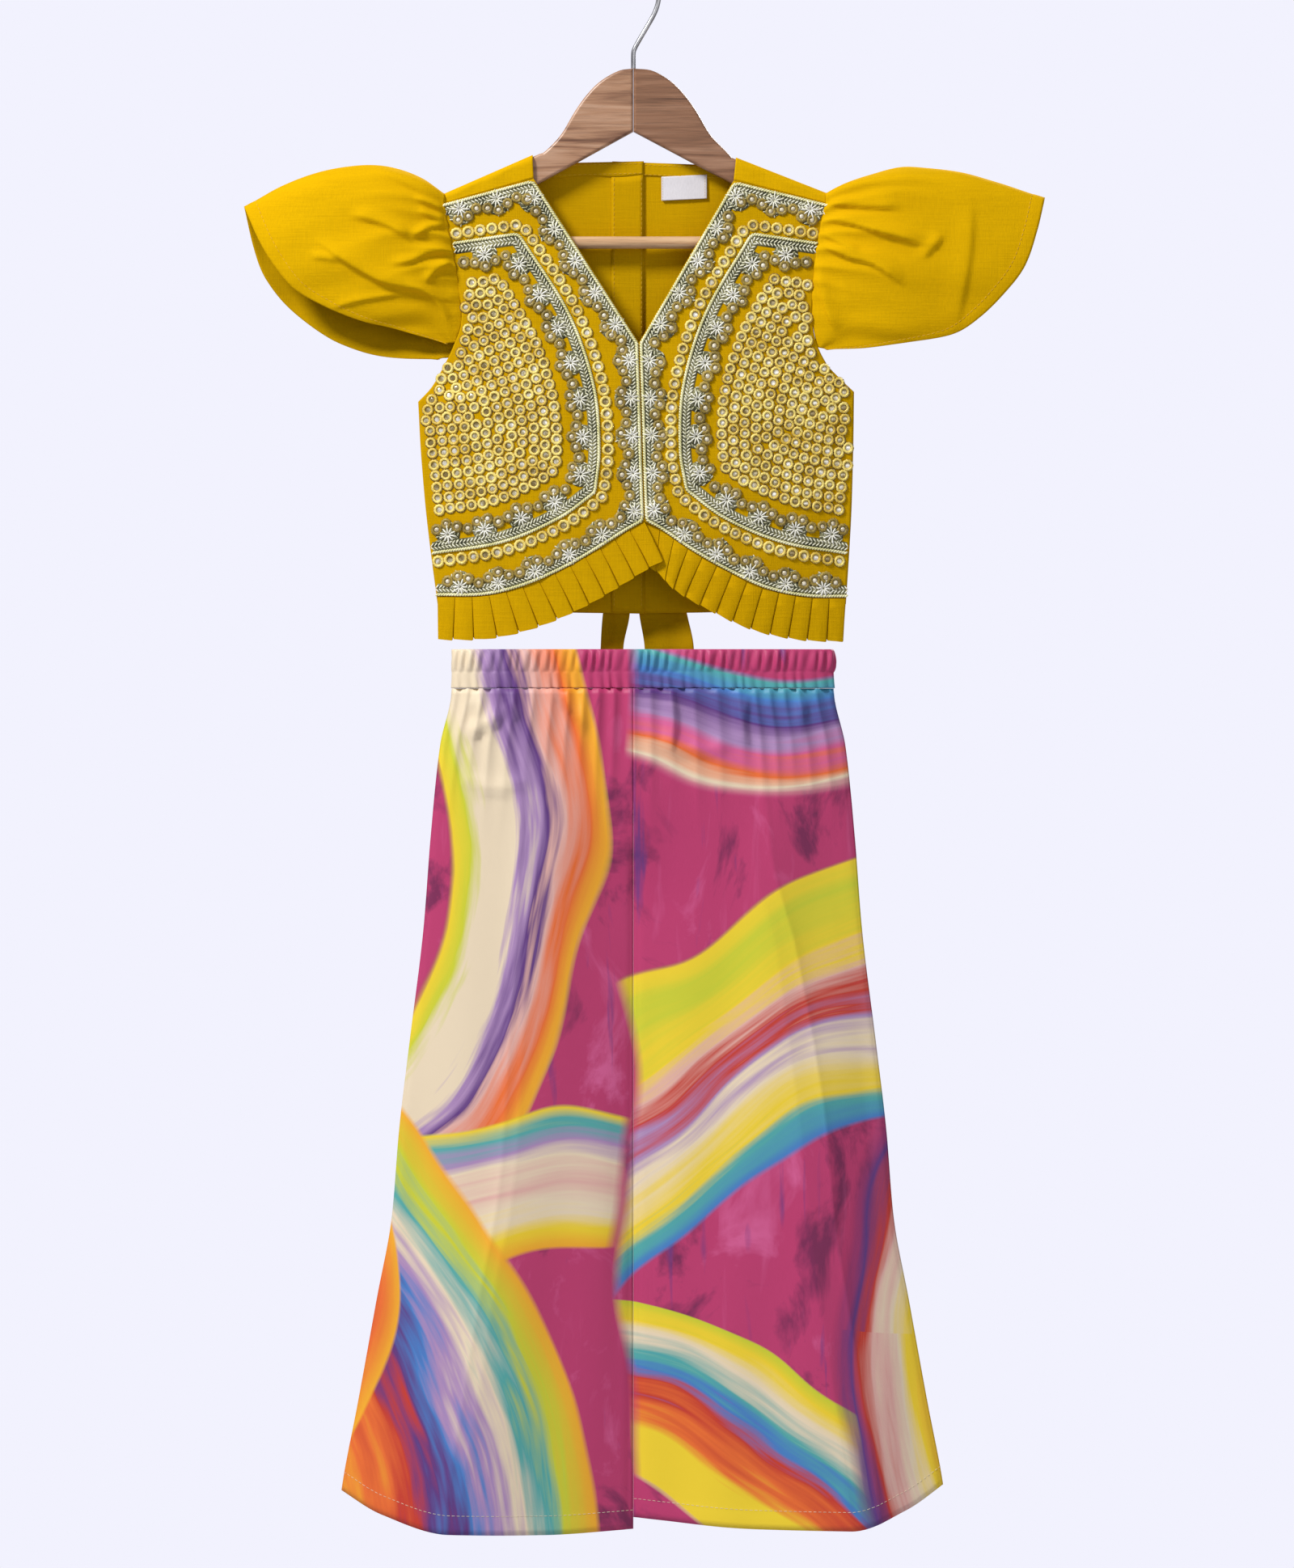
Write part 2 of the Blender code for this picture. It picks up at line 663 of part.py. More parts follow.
def make_label():
    (x_low, x_high), (z_low, z_high) = LABEL_BOX["x"], LABEL_BOX["z"]

    def place(u, v):
        x, z = x_low + (x_high - x_low) * u, z_high + (z_low - z_high) * v
        back = top_depth(BACK_FORM, RIGHT, x, z) + placket_step(RIGHT, x)
        return Vector((x, back - CLOTH - LIFT, z))

    sheet("neck_label", 4, 2, place, (0, 1, 0), kind="label", wall=LABEL)


def make_buttons():
    for number in range(BUTTONS):
        z = BUTTON_TOP - BUTTON_PITCH * number
        y = top_depth(BACK_FORM, RIGHT, BUTTON_X, z) + PLACKET_STEP + LIFT + BUTTON_THICKNESS / 2
        bm = bmesh.new()
        bmesh.ops.create_cone(
            bm, cap_ends=True, segments=20, radius1=BUTTON_RADIUS * MM, radius2=BUTTON_RADIUS * MM,
            depth=BUTTON_THICKNESS * MM,
        )
        button = mesh_object("button_%d" % (number + 1), bm, "button")
        button.location = Vector((BUTTON_X, y, z)) * MM
        button.rotation_euler = (math.radians(90), 0, 0)


def make_sash():
    """Two bands from the side seams to a knot at the middle of the back, and the knot's two tails."""
    for side in (LEFT, RIGHT):

        def band(u, v, side=side):
            reach = SASH_BAND[0].x + (SASH_END - SASH_BAND[0].x) * u
            x = side * reach + KNOT["x"] * u
            top = level(SASH_BAND, reach, "top", by="x")
            z = top + (level(SASH_BAND, reach, "bottom", by="x") - top) * v
            lap = PLACKET_STEP * smooth(x, -72.0, -26.0) * (1.0 - smooth(x, *PLACKET_EASE))
            return Vector((x, top_depth(BACK_FORM, side, x, z) + lap + LIFT + CLOTH, z))

        sheet("sash_" + SIDE_NAME[side], 12, 2, band, (0, 1, 0), kind="sash")

        def tail(u, v, rows=SASH_TAIL[side]):
            z = rows[0].z + (rows[-1].z - rows[0].z) * v
            x = level(rows, z, "x") + (u - 0.5) * level(rows, z, "width")
            return Vector((x, level(rows, z, "y"), z))

        sheet("sash_tail_" + SIDE_NAME[side], 2, 16, tail, (0, 1, 0), kind="sash")
    bm = bmesh.new()
    bmesh.ops.create_uvsphere(bm, u_segments=16, v_segments=8, radius=1.0)
    for vert in bm.verts:
        vert.co = Vector(vert.co[i] * KNOT_RADII[i] for i in range(3)) * MM
    knot = mesh_object("sash_knot", bm, "sash")
    knot.location = Vector((KNOT["x"], KNOT["y"], KNOT["z"])) * MM


def waist_outline(columns):
    """Points equally far apart round the waist, as x and y, with the way out at each."""
    fine = np.linspace(0.0, 2 * np.pi, 4001)
    cosine, sine = np.cos(fine), np.sin(fine)
    x = WAIST_HALF * np.sign(cosine) * np.abs(cosine) ** (2 / WAIST_SQUARENESS)
    y = WAIST_DEPTH * sine
    length = np.concatenate(([0.0], np.cumsum(np.hypot(np.diff(x), np.diff(y)))))
    share = np.arange(columns) / columns * length[-1]
    x, y = np.interp(share, length, x), np.interp(share, length, y)
    run_x, run_y = np.roll(x, -1) - np.roll(x, 1), np.roll(y, -1) - np.roll(y, 1)
    size = np.hypot(run_x, run_y)
    return [(x[i], y[i], run_y[i] / size[i], -run_x[i] / size[i]) for i in range(columns)]


def make_waistband():
    """A gathered elastic band: rippled outside, with a stitched line round it, and plain inside."""
    columns = 2 * WAIST_GATHERS
    rows = table("z out", (WAIST_TOP, 0.3), (WAIST_TOP - 9, 1.0), (WAIST_SEAM, 0.1), (WAIST_BOTTOM, 0.8))
    bm = bmesh.new()
    sections = []
    for i, (x, y, out_x, out_y) in enumerate(waist_outline(columns)):
        section = []
        for row in rows:
            out = WAIST_GATHER_HEIGHT * row.out * (i % 2)
            section.append(bm.verts.new(Vector((x + PALAZZO_SHIFT + out_x * out, y + out_y * out, row.z)) * MM))
        for row in (rows[-1], rows[0]):
            inside = Vector((x + PALAZZO_SHIFT - out_x * WAIST_WALL, y - out_y * WAIST_WALL, row.z))
            section.append(bm.verts.new(inside * MM))
        sections.append(section)
    for i, section in enumerate(sections):
        after = sections[(i + 1) % columns]
        for k in range(len(section)):
            next_k = (k + 1) % len(section)
            bm.faces.new((section[k], section[next_k], after[next_k], after[k]))
    bmesh.ops.recalc_face_normals(bm, faces=bm.faces[:])
    mesh_object("palazzo_waistband", bm, "print")


def leg_depth(side, share, x, z):
    """Depth of a leg's outer face: one round body above the crotch, and a creased leg of its own below it."""
    half = level(PALAZZO_SIDE, z, "half")
    across = min(1.0, abs(x - PALAZZO_SHIFT) / half)
    whole = SEAM_DEPTH + (level(LEG_FORM, z, "whole") - SEAM_DEPTH) * (1.0 - across**5)
    crease = level(PALAZZO_CREASE[side], z, "share")
    rise = share / crease if share < crease else (1.0 - share) / (1.0 - crease)
    leg = SEAM_DEPTH + (level(LEG_FORM, z, "crease") - SEAM_DEPTH) * (1.4 * rise - 0.4 * rise * rise)
    return whole + (leg - whole) * smooth(-z, 690.0, -CROTCH_HEIGHT)


def leg_place(side, layer):
    """One panel of a leg, with u from the middle to the side seam and its crease at the middle column."""

    def place(u, v):
        middle_crease = level(PALAZZO_CREASE[side], WAIST_BOTTOM + v * (-1330.0 - WAIST_BOTTOM), "share")
        share = 2 * u * middle_crease if u < 0.5 else middle_crease + (2 * u - 1) * (1 - middle_crease)
        top = WAIST_BOTTOM - GAP
        z = top + v * (level(PALAZZO_HEM[side], share, "z", by="share") - top)
        inner = PALAZZO_MIDDLE + side * (GAP / 2 + (LEG_GAP - GAP) / 2 * smooth(-z, 760.0, 820.0))
        outer = PALAZZO_SHIFT + side * level(PALAZZO_SIDE, z, "half")
        x = inner + (outer - inner) * share
        ripple = 0.5 - 0.5 * math.cos(2 * math.pi * LEG_GATHERS * u)
        fade = 1.0 - smooth(-z, -WAIST_BOTTOM, -LEG_GATHER_END)
        return Vector((x, layer * (leg_depth(side, share, x, z) + LEG_GATHER_HEIGHT * ripple * fade), z))

    return place


def make_legs():
    for side in (LEFT, RIGHT):
        for layer, word in ((FRONT, "front"), (BACK, "back")):
            name = "palazzo_%s_%s" % (word, SIDE_NAME[side])
            sheet(name, 2 * LEG_GATHERS, 12, leg_place(side, layer), (0, layer, 0), kind="print")


def curve_object(name, points, kind, cyclic=False, flat=False):
    curve = bpy.data.curves.new(name, "CURVE")
    curve.dimensions = "2D" if flat else "3D"
    spline = curve.splines.new("POLY")
    spline.points.add(len(points) - 1)
    for target, point in zip(spline.points, points):
        target.co = (*(value * MM for value in point), 1.0)
    spline.use_cyclic_u = cyclic
    return finish(bpy.data.objects.new(name, curve), kind)


def arm_outline(side):
    """The outline of one wooden arm, from the mitre over the shoulder to the lobe and back below."""
    under = CLOTH + GAP
    neck, tip = Vector(NECK_POINT[side]), Vector(SHOULDER_TIP[side])
    run = (tip - neck).normalized()
    drop = under / abs(run.x)

    def shoulder(x):
        return (x, neck.y + (x - neck.x) / (tip.x - neck.x) * (tip.y - neck.y) - drop)

    mitre = MITRE + side * GAP / 2
    outline = [(mitre, HANGER_CROWN)]
    outline += [(side * row.x, row.z) for row in HANGER_TOP]
    outline += [shoulder(side * x) for x in (82.0, 120.0, 146.0)]
    end = shoulder(side * 146.0)[1]
    outline += [(side * (LOBE_OUTER - 2.0), end - 4.0), (side * LOBE_OUTER, end - 10.0)]
    outline += [(side * LOBE_OUTER, LOBE_BOTTOM + 6.0), (side * (LOBE_OUTER - 4.0), LOBE_BOTTOM)]
    outline += [(side * (LOBE_INNER + 4.0), LOBE_BOTTOM), (side * LOBE_INNER, LOBE_BOTTOM + 5.0)]
    outline += [(side * row.x, row.z) for row in HANGER_UNDERSIDE]
    outline += [(mitre, HANGER_APEX)]
    return outline


def make_hanger():
    for side, kind in ((LEFT, "pale_wood"), (RIGHT, "dark_wood")):
        outline = [(x, z, 0.0) for x, z in arm_outline(side)]
        arm = curve_object("hanger_arm_" + SIDE_NAME[side], outline, kind, cyclic=True, flat=True)
        arm.data.fill_mode = "BOTH"
        arm.data.extrude = (WOOD / 2 - WOOD_ROUNDING) * MM
        arm.data.bevel_depth = WOOD_ROUNDING * MM
        arm.data.bevel_resolution = 1
        arm.data.offset = -WOOD_ROUNDING * MM
        arm.rotation_euler = (math.radians(90), 0, 0)
    bm = bmesh.new()
    length = 2 * (LOBE_INNER - GAP)
    radius = BAR_DIAMETER / 2 * MM
    bmesh.ops.create_cone(bm, cap_ends=True, segments=24, radius1=radius, radius2=radius, depth=length * MM)
    bar = mesh_object("hanger_bar", bm, "bar_wood")
    bar.location = (0, 0, BAR_HEIGHT * MM)
    bar.rotation_euler = (0, math.radians(90), 0)
    make_hook()


def make_hook():
    """A bent wire: up from the wood, out to the right, and over to a free tip at the left."""
    centre_z = HOOK_WIRE / 2 - HOOK_BEND
    route = [(MITRE, 0, HANGER_CROWN + GAP), (MITRE, 0, -74.0), (MITRE + 0.4, 0, -69.0), (1.5, 0, -62.5)]
    route += [(14.5, 0, -40.0), (17.6, 0, -33.0), (19.4, 0, -26.0)]
    for angle in range(0, int(HOOK_TIP_ANGLE) + 1, 12):
        turn = math.radians(angle)
        route.append((HOOK_BEND * math.cos(turn), 0, centre_z + HOOK_BEND * math.sin(turn)))
    hook = curve_object("hanger_hook", route, "steel")
    hook.data.bevel_depth = HOOK_WIRE / 2 * MM
    hook.data.bevel_resolution = 2
    hook.data.use_fill_caps = True


COLLECTION = new_collection()
make_hanger()
make_fronts()
make_backs()
make_yokes()
make_sleeves()
make_frills()
make_braids()
make_label()
make_buttons()
make_sash()
make_waistband()
make_legs()
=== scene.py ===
"""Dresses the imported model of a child's top and palazzo set on its hanger.

Lengths are in millimetres here and become metres where a mesh is made. +Z is up and the front faces -Y.
Left and right are the viewer's. Heights run down from the hook, so they are negative."""

import json
import math
from collections import namedtuple

import bpy
import numpy as np
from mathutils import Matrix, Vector

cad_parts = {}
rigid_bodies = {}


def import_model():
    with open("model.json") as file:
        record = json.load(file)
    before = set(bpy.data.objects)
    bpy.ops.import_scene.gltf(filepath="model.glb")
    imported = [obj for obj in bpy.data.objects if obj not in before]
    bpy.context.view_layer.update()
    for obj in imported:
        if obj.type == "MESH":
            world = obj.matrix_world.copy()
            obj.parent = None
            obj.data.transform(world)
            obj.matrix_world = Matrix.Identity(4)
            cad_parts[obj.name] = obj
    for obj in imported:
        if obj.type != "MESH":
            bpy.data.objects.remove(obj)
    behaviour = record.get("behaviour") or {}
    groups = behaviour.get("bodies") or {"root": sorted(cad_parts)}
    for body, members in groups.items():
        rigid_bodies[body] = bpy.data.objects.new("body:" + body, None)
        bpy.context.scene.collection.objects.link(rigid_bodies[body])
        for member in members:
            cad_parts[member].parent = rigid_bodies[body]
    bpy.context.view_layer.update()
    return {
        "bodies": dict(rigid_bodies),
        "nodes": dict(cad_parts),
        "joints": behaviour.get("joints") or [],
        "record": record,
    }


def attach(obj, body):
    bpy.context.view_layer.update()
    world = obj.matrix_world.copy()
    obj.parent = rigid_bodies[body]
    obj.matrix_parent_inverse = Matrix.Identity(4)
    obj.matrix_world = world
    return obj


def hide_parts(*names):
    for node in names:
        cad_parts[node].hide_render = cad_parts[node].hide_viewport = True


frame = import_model()

MM = 0.001
LEFT, RIGHT = -1, 1
SIDE_NAME = {LEFT: "left", RIGHT: "right"}
FRONT, BACK = -1, 1
TO_FRONT, TO_BACK, UP = (0.0, -1.0, 0.0), (0.0, 1.0, 0.0), (0.0, 0.0, 1.0)

# Walls and clearances
GAP = 0.3
CLOTH = 1.2
SEAM_DEPTH = CLOTH + GAP / 2 + 0.05
LIFT = 0.45

# The top's middle leans a little to the right on its way down
NECK_HEIGHT = -158.0
LEAN_AT_NECK = -1.7
LEAN_SLOPE = 0.0204

# The shoulder's section: half its depth, and the radius of its two bends
SHOULDER_DEPTH = 9.0
SHOULDER_BEND = 5.0
BACK_SEAM_DROP = 6.5

# Placket at the middle of the back, where the right panel lies outside the left one
LAP_X = {LEFT: 7.0, RIGHT: -20.0}
PLACKET_EASE = (9.0, 45.0)
PLACKET_STEP = CLOTH + GAP + 0.1
BACK_NECK_HEIGHT = -162.5
BACK_HEM_HEIGHT = {"side": -541.0, "middle": -549.0}

FRILL_DEPTH = 34.5
FRILL_PLEATS = 13
FRILL_LAP = CLOTH + GAP

SLEEVE_PUFF = 10.0
SLEEVE_HEM_DEPTH = 14.0

# Rows of faces down a front or a back, half of them beside the armhole
TOP_ROWS = 14

BRAID_WIDTH = 10.0
LABEL_BOX = {"x": (21.4, 61.4), "z": (-196.6, -173.9)}

BUTTON_THICKNESS = 2.2
BUTTON_X = -7.0
BUTTON_TOP = -181.0
BUTTON_PITCH = 77.0
BUTTONS = 4

KNOT = {"x": -2.0, "y": 22.2, "z": -452.0}
SASH_END = 9.0

# Palazzo
CROTCH_HEIGHT = -805.0
PALAZZO_MIDDLE = -2.0
PALAZZO_SHIFT = 6.0
WAIST_TOP = -579.6
WAIST_SEAM = -598.9
WAIST_BOTTOM = -612.7
WAIST_HALF = 163.0
WAIST_DEPTH = 12.0
WAIST_SQUARENESS = 4.0
LEG_GATHER_END = -735.0
LEG_BOTTOM = -1330.0

# Hanger
WOOD = 12.0
WOOD_ROUNDING = 2.5
MITRE = -2.0
BAR_HEIGHT = -232.5
BAR_DIAMETER = 10.5
LOBE_INNER = 136.0
LOBE_OUTER = 153.0
LOBE_BOTTOM = -243.0
HOOK_WIRE = 4.0
HOOK_BEND = 20.0
HOOK_TIP_ANGLE = 172.0


def table(columns, *rows):
    """Rows of numbers under named columns."""
    row_type = namedtuple("Row", columns)
    return [row_type(*row) for row in rows]


NECK_POINT = {LEFT: (-88.0, -158.0), RIGHT: (85.6, -160.1)}
SHOULDER_TIP = {LEFT: (-163.5, -191.0), RIGHT: (163.0, -190.5)}
YOKE_SEAM = {
    LEFT: {"neck": (-86.9, -178.7), "tip": (-163.8, -199.4)},
    RIGHT: {"neck": (83.5, -180.1), "tip": (162.6, -199.4)},
}
NECK_BOTTOM = (2.8, -318.8)
FRONT_BOTTOM = (7.6, -471.3)

ARMHOLE = {
    LEFT: table(
        "x z", (-163.8, -199.4), (-158.7, -232.5), (-151.8, -267.0), (-148.6, -300.0),
        (-155.9, -322.2), (-166.3, -342.9), (-174.6, -356.7), (-185.6, -368.5),
    ),
    RIGHT: table(
        "x z", (162.6, -199.4), (155.9, -232.5), (151.8, -267.0), (150.5, -294.6),
        (153.2, -315.3), (162.8, -336.0), (175.3, -349.5), (186.3, -360.0),
    ),
}
SIDE_SEAM = {
    LEFT: table("x z", (-185.6, -368.5), (-183.0, -415.0), (-177.5, -475.0), (-169.1, -534.8)),
    RIGHT: table("x z", (186.3, -360.0), (185.5, -415.0), (183.5, -475.0), (179.4, -536.1)),
}
FRONT_HEM = {
    LEFT: table(
        "x z", (-169.1, -534.8), (-128.3, -534.1), (-93.8, -525.8), (-59.3, -510.6),
        (-31.7, -494.7), (-4.1, -477.5), (7.6, -471.3),
    ),
    RIGHT: table(
        "x z", (179.4, -536.1), (145.6, -535.4), (111.1, -528.5), (76.6, -512.7),
        (47.6, -496.1), (20.0, -477.5), (7.6, -471.3),
    ),
}

# How far the cloth stands from the middle plane, at its outer edge and at its middle
FRONT_FORM = table(
    "z edge crown", (-165, 9.0, 9.0), (-199, 9.0, 9.2), (-240, 9.0, 12.0), (-262, 8.6, 13.2),
    (-318, 5.0, 16.0), (-345, 2.3, 18.0), (-358, SEAM_DEPTH, 18.6), (-470, SEAM_DEPTH, 19.0),
    (-550, SEAM_DEPTH, 17.0),
)
BACK_FORM = table(
    "z edge crown", (-165, 9.0, 9.0), (-199, 9.0, 9.6), (-262, 8.6, 12.0), (-318, 5.0, 13.0),
    (-345, 2.3, 13.2), (-358, SEAM_DEPTH, 13.4), (-550, SEAM_DEPTH, 13.4),
)

SLEEVE_FOLD = {
    LEFT: table(
        "x z", (-163.8, -191.0), (-183.5, -177.3), (-211.1, -167.7), (-235.3, -166.3),
        (-266.3, -172.5), (-300.8, -185.6), (-334.0, -202.2),
    ),
    RIGHT: table(
        "x z", (163.3, -190.5), (178.7, -182.2), (201.5, -174.6), (227.0, -168.0),
        (249.1, -169.1), (277.4, -173.9), (305.7, -182.2), (349.1, -194.6),
    ),
}
SLEEVE_HEM = {
    (LEFT, FRONT): table(
        "x z", (-334.0, -202.2), (-320.9, -231.2), (-307.1, -253.9), (-289.8, -273.9),
        (-265.0, -287.7), (-236.7, -298.8), (-208.4, -305.7), (-180.1, -313.3), (-162.2, -319.0),
    ),
    (LEFT, BACK): table(
        "x z", (-334.0, -202.2), (-326.4, -236.7), (-316.7, -262.2), (-296.0, -287.7),
        (-262.2, -313.3), (-236.7, -324.3), (-208.4, -330.5), (-169.0, -332.0),
    ),
    (RIGHT, FRONT): table(
        "x z", (349.1, -194.6), (342.2, -222.9), (331.2, -253.9), (314.0, -276.7),
        (294.6, -296.0), (271.9, -310.5), (235.3, -317.4), (198.7, -322.2), (163.0, -324.0),
    ),
    (RIGHT, BACK): table(
        "x z", (349.1, -194.6), (342.0, -224.0), (330.0, -255.0), (312.0, -278.0),
        (291.0, -297.0), (268.0, -309.0), (235.0, -315.0), (198.0, -318.0), (161.0, -319.0),
    ),
}
SLEEVE_SEAM_END = {
    (LEFT, FRONT): -318.0, (LEFT, BACK): -330.5, (RIGHT, FRONT): -322.0, (RIGHT, BACK): -317.5,
}

# The inner braid of each front runs across, turns a corner, runs down, turns again and runs out
INNER_BRAID = {
    LEFT: (
        table("x z", (-154.0, -237.5), (-102.0, -230.0)),
        table("x z", (-102.0, -230.0), (-60.5, -296.0), (-39.5, -357.0), (-35.0, -411.0), (-38.5, -444.0)),
        table("x z", (-38.5, -444.0), (-67.0, -464.5), (-115.0, -484.5), (-173.0, -493.5)),
    ),
    RIGHT: (
        table("x z", (153.0, -237.5), (101.0, -230.0)),
        table("x z", (101.0, -230.0), (63.0, -296.0), (44.5, -357.0), (42.0, -411.0), (47.0, -442.0)),
        table("x z", (47.0, -442.0), (78.0, -464.5), (126.0, -484.5), (179.5, -493.5)),
    ),
}

SASH_BAND = table("x top bottom", (176.0, -430.0, -470.0), (90.0, -437.0, -468.0), (SASH_END, -446.0, -459.0))
SASH_TAIL = {
    LEFT: table(
        "z x width y", (-463.0, -6.8, 9.0, 23.0), (-478.0, -8.0, 14.0, 19.4), (-505.0, -12.5, 20.0, 17.4),
        (-551.0, -16.8, 23.0, 17.2), (-578.0, -20.2, 19.5, 10.0), (-640.0, -22.0, 19.0, 9.9),
        (-692.0, -24.0, 19.0, 9.9),
    ),
    RIGHT: table(
        "z x width y", (-463.0, 3.0, 9.0, 23.0), (-478.0, 8.0, 18.0, 19.4), (-505.0, 16.0, 32.0, 17.4),
        (-551.0, 23.8, 41.0, 17.2), (-578.0, 28.6, 42.0, 10.0), (-640.0, 31.0, 40.0, 9.9),
        (-688.0, 33.0, 40.0, 9.9),
    ),
}

PALAZZO_SIDE = table(
    "z half", (-580, 163.0), (-613, 163.0), (-662, 173.0), (-740, 181.0), (-817, 187.0), (-915, 199.0),
    (-991, 208.0), (-1063, 214.0), (-1134, 227.0), (-1222, 243.0), (-1290, 256.0), (-1335, 262.0),
)
# Place of the pressed crease, as a share of the leg's width from the middle, and how far it stands out
PALAZZO_CREASE = {
    LEFT: table("z share", (-613, 0.51), (-991, 0.49), (-1130, 0.545), (-1330, 0.59)),
    RIGHT: table("z share", (-613, 0.56), (-750, 0.54), (-840, 0.62), (-1060, 0.67), (-1330, 0.69)),
}
LEG_FORM = table("z whole crease", (-613, 12.0, 12.0), (-805, 13.5, 15.0), (-1000, 14.0, 21.0),
                 (-1335, 15.0, 30.0))
PALAZZO_HEM = {
    LEFT: table("share z", (0.0, -1330.0), (0.3, -1334.0), (0.62, -1333.0), (0.85, -1317.0), (1.0, -1297.0)),
    RIGHT: table("share z", (0.0, -1320.0), (0.4, -1329.0), (0.69, -1330.0), (0.87, -1313.0), (1.0, -1292.0)),
}

HANGER_TOP = table("x z", (14.0, -86.0), (30.0, -95.0), (42.0, -107.0), (52.0, -121.0), (64.0, -141.0),
                   (78.0, -155.6))
HANGER_CROWN = -84.2
HANGER_UNDERSIDE = table("x z", (136.0, -214.0), (128.0, -207.0), (100.0, -192.0))
HANGER_APEX = -138.0

# Visible cloth is thinner than the solids, and its outer face is theirs
THIN = 0.7
# The area of a cut is that of the dressed surface, times one of these shares where the piece is gathered or
# is a narrow band. The shares are judged and come from no pattern
GATHERED_CUT = 0.9
NARROW_CUT = 1.05
CAMERA_DISTANCE = 8000.0
VIEW_CENTRE = (9.66, -694.5)
VIEW_HEIGHT = 1338.0
SENSOR = 36.0
FLOOR_HEIGHT = -1750.0


def smooth(value, low, high):
    """0 below low, 1 above high, with a soft rise between them."""
    share = np.clip((np.asarray(value, float) - low) / (high - low), 0.0, 1.0)
    return share * share * (3.0 - 2.0 * share)


def hermite(start, end, rise_start, rise_end, t):
    """A cubic between two values, or two points, with the given rise at each."""
    t2 = t * t
    t3 = t2 * t
    return (
        start * (2 * t3 - 3 * t2 + 1) + rise_start * (t3 - 2 * t2 + t)
        + end * (3 * t2 - 2 * t3) + rise_end * (t3 - t2)
    )


def level(rows, key, column, by="z"):
    """A table's column where its key column has these values, with no overshoot between the rows."""
    keys = np.array([getattr(row, by) for row in rows], float)
    values = np.array([getattr(row, column) for row in rows], float)
    order = np.argsort(keys)
    keys, values = keys[order], values[order]
    slopes = np.diff(values) / np.diff(keys)
    before, after = slopes[:-1], slopes[1:]
    total = np.where(before * after > 0, before + after, 1.0)
    inner = np.where(before * after > 0, 2 * before * after / total, 0.0)
    rises = np.concatenate((slopes[:1], inner, slopes[-1:]))
    key = np.clip(np.asarray(key, float), keys[0], keys[-1])
    i = np.clip(np.searchsorted(keys, key, side="right") - 1, 0, len(slopes) - 1)
    span = keys[i + 1] - keys[i]
    return hermite(values[i], values[i + 1], rises[i] * span, rises[i + 1] * span, (key - keys[i]) / span)


def along(rows, share, straight=False):
    """Points at these shares of the way along a smooth curve, or a straight-sided line, through the rows."""
    points = np.array([tuple(row) for row in rows], float)
    spans = np.linalg.norm(np.diff(points, axis=0), axis=1)
    knots = np.concatenate(([0.0], np.cumsum(spans)))
    reach = np.clip(np.asarray(share, float), 0.0, 1.0) * knots[-1]
    i = np.clip(np.searchsorted(knots, reach, side="left") - 1, 0, len(spans) - 1)
    t = ((reach - knots[i]) / spans[i])[..., None]
    if straight:
        return points[i] + (points[i + 1] - points[i]) * t
    high = np.minimum(np.arange(len(points)) + 1, len(points) - 1)
    low = np.maximum(np.arange(len(points)) - 1, 0)
    rises = (points[high] - points[low]) / (knots[high] - knots[low])[:, None]
    span = spans[i][..., None]
    return hermite(points[i], points[i + 1], rises[i] * span, rises[i + 1] * span, t)


def joined(first, second):
    """An edge of two curves, the first up to its half."""

    def edge(share):
        share = np.asarray(share, float)
        return np.where(share[..., None] < 0.5, along(first, 2 * share), along(second, 2 * share - 1))

    return edge


def patch(top, bottom, outer, inner):
    """The flat surface between four edges. u runs from the outer edge inwards, v from the top down."""

    def place(u, v):
        s, t = np.asarray(u, float)[..., None], np.asarray(v, float)[..., None]
        across = outer(v) * (1 - s) + inner(v) * s
        down = top(u) * (1 - t) + bottom(u) * t
        above = outer(0.0) * (1 - s) + inner(0.0) * s
        below = outer(1.0) * (1 - s) + inner(1.0) * s
        return across + down - (above * (1 - t) + below * t)

    return place


def lean(z):
    return LEAN_AT_NECK + (NECK_HEIGHT - z) * LEAN_SLOPE


def top_depth(form, side, x, z):
    """Depth of the top's outer face from the middle plane."""
    middle = lean(z)
    half = abs(level(ARMHOLE[side] + SIDE_SEAM[side][1:], z, "x") - middle)
    share = np.minimum(1.0, abs(x - middle) / half)
    edge = level(form, z, "edge")
    return edge + (level(form, z, "crown") - edge) * (1.0 - share**2.5)


def armhole(side, layer):
    if layer == FRONT:
        return ARMHOLE[side]
    tip_x, tip_z = SHOULDER_TIP[side]
    return [(tip_x, tip_z - BACK_SEAM_DROP - GAP)] + ARMHOLE[side][1:]


def waves(a, b, *rows):
    """A sum of slow waves over two coordinates. Each row is a height, the two wavelengths and a phase."""
    total = 0.0
    for height, long_a, long_b, phase in rows:
        total = total + height * np.sin(2 * np.pi * (a / long_a + b / long_b) + phase)
    return total


def closed(side, depth, x, z):
    """Depth brought down to the side seam, where front and back are sewn together below the armhole."""
    middle = lean(z)
    half = abs(level(ARMHOLE[side] + SIDE_SEAM[side][1:], z, "x") - middle)
    share = np.minimum(1.0, abs(x - middle) / half) ** 12 * smooth(-z, 335.0, 358.0)
    return depth + (THIN + 0.02 - depth) * share


def front_relief(x, z):
    """Slight drape of the front, which its needlework follows."""
    return 0.35 + waves(x, z, (0.35, 90.0, 140.0, 0.4), (0.3, -61.0, 118.0, 1.9), (0.2, 37.0, 75.0, 3.1))


def front_depth(side, x, z):
    return closed(side, top_depth(FRONT_FORM, side, x, z) + front_relief(x, z), x, z)


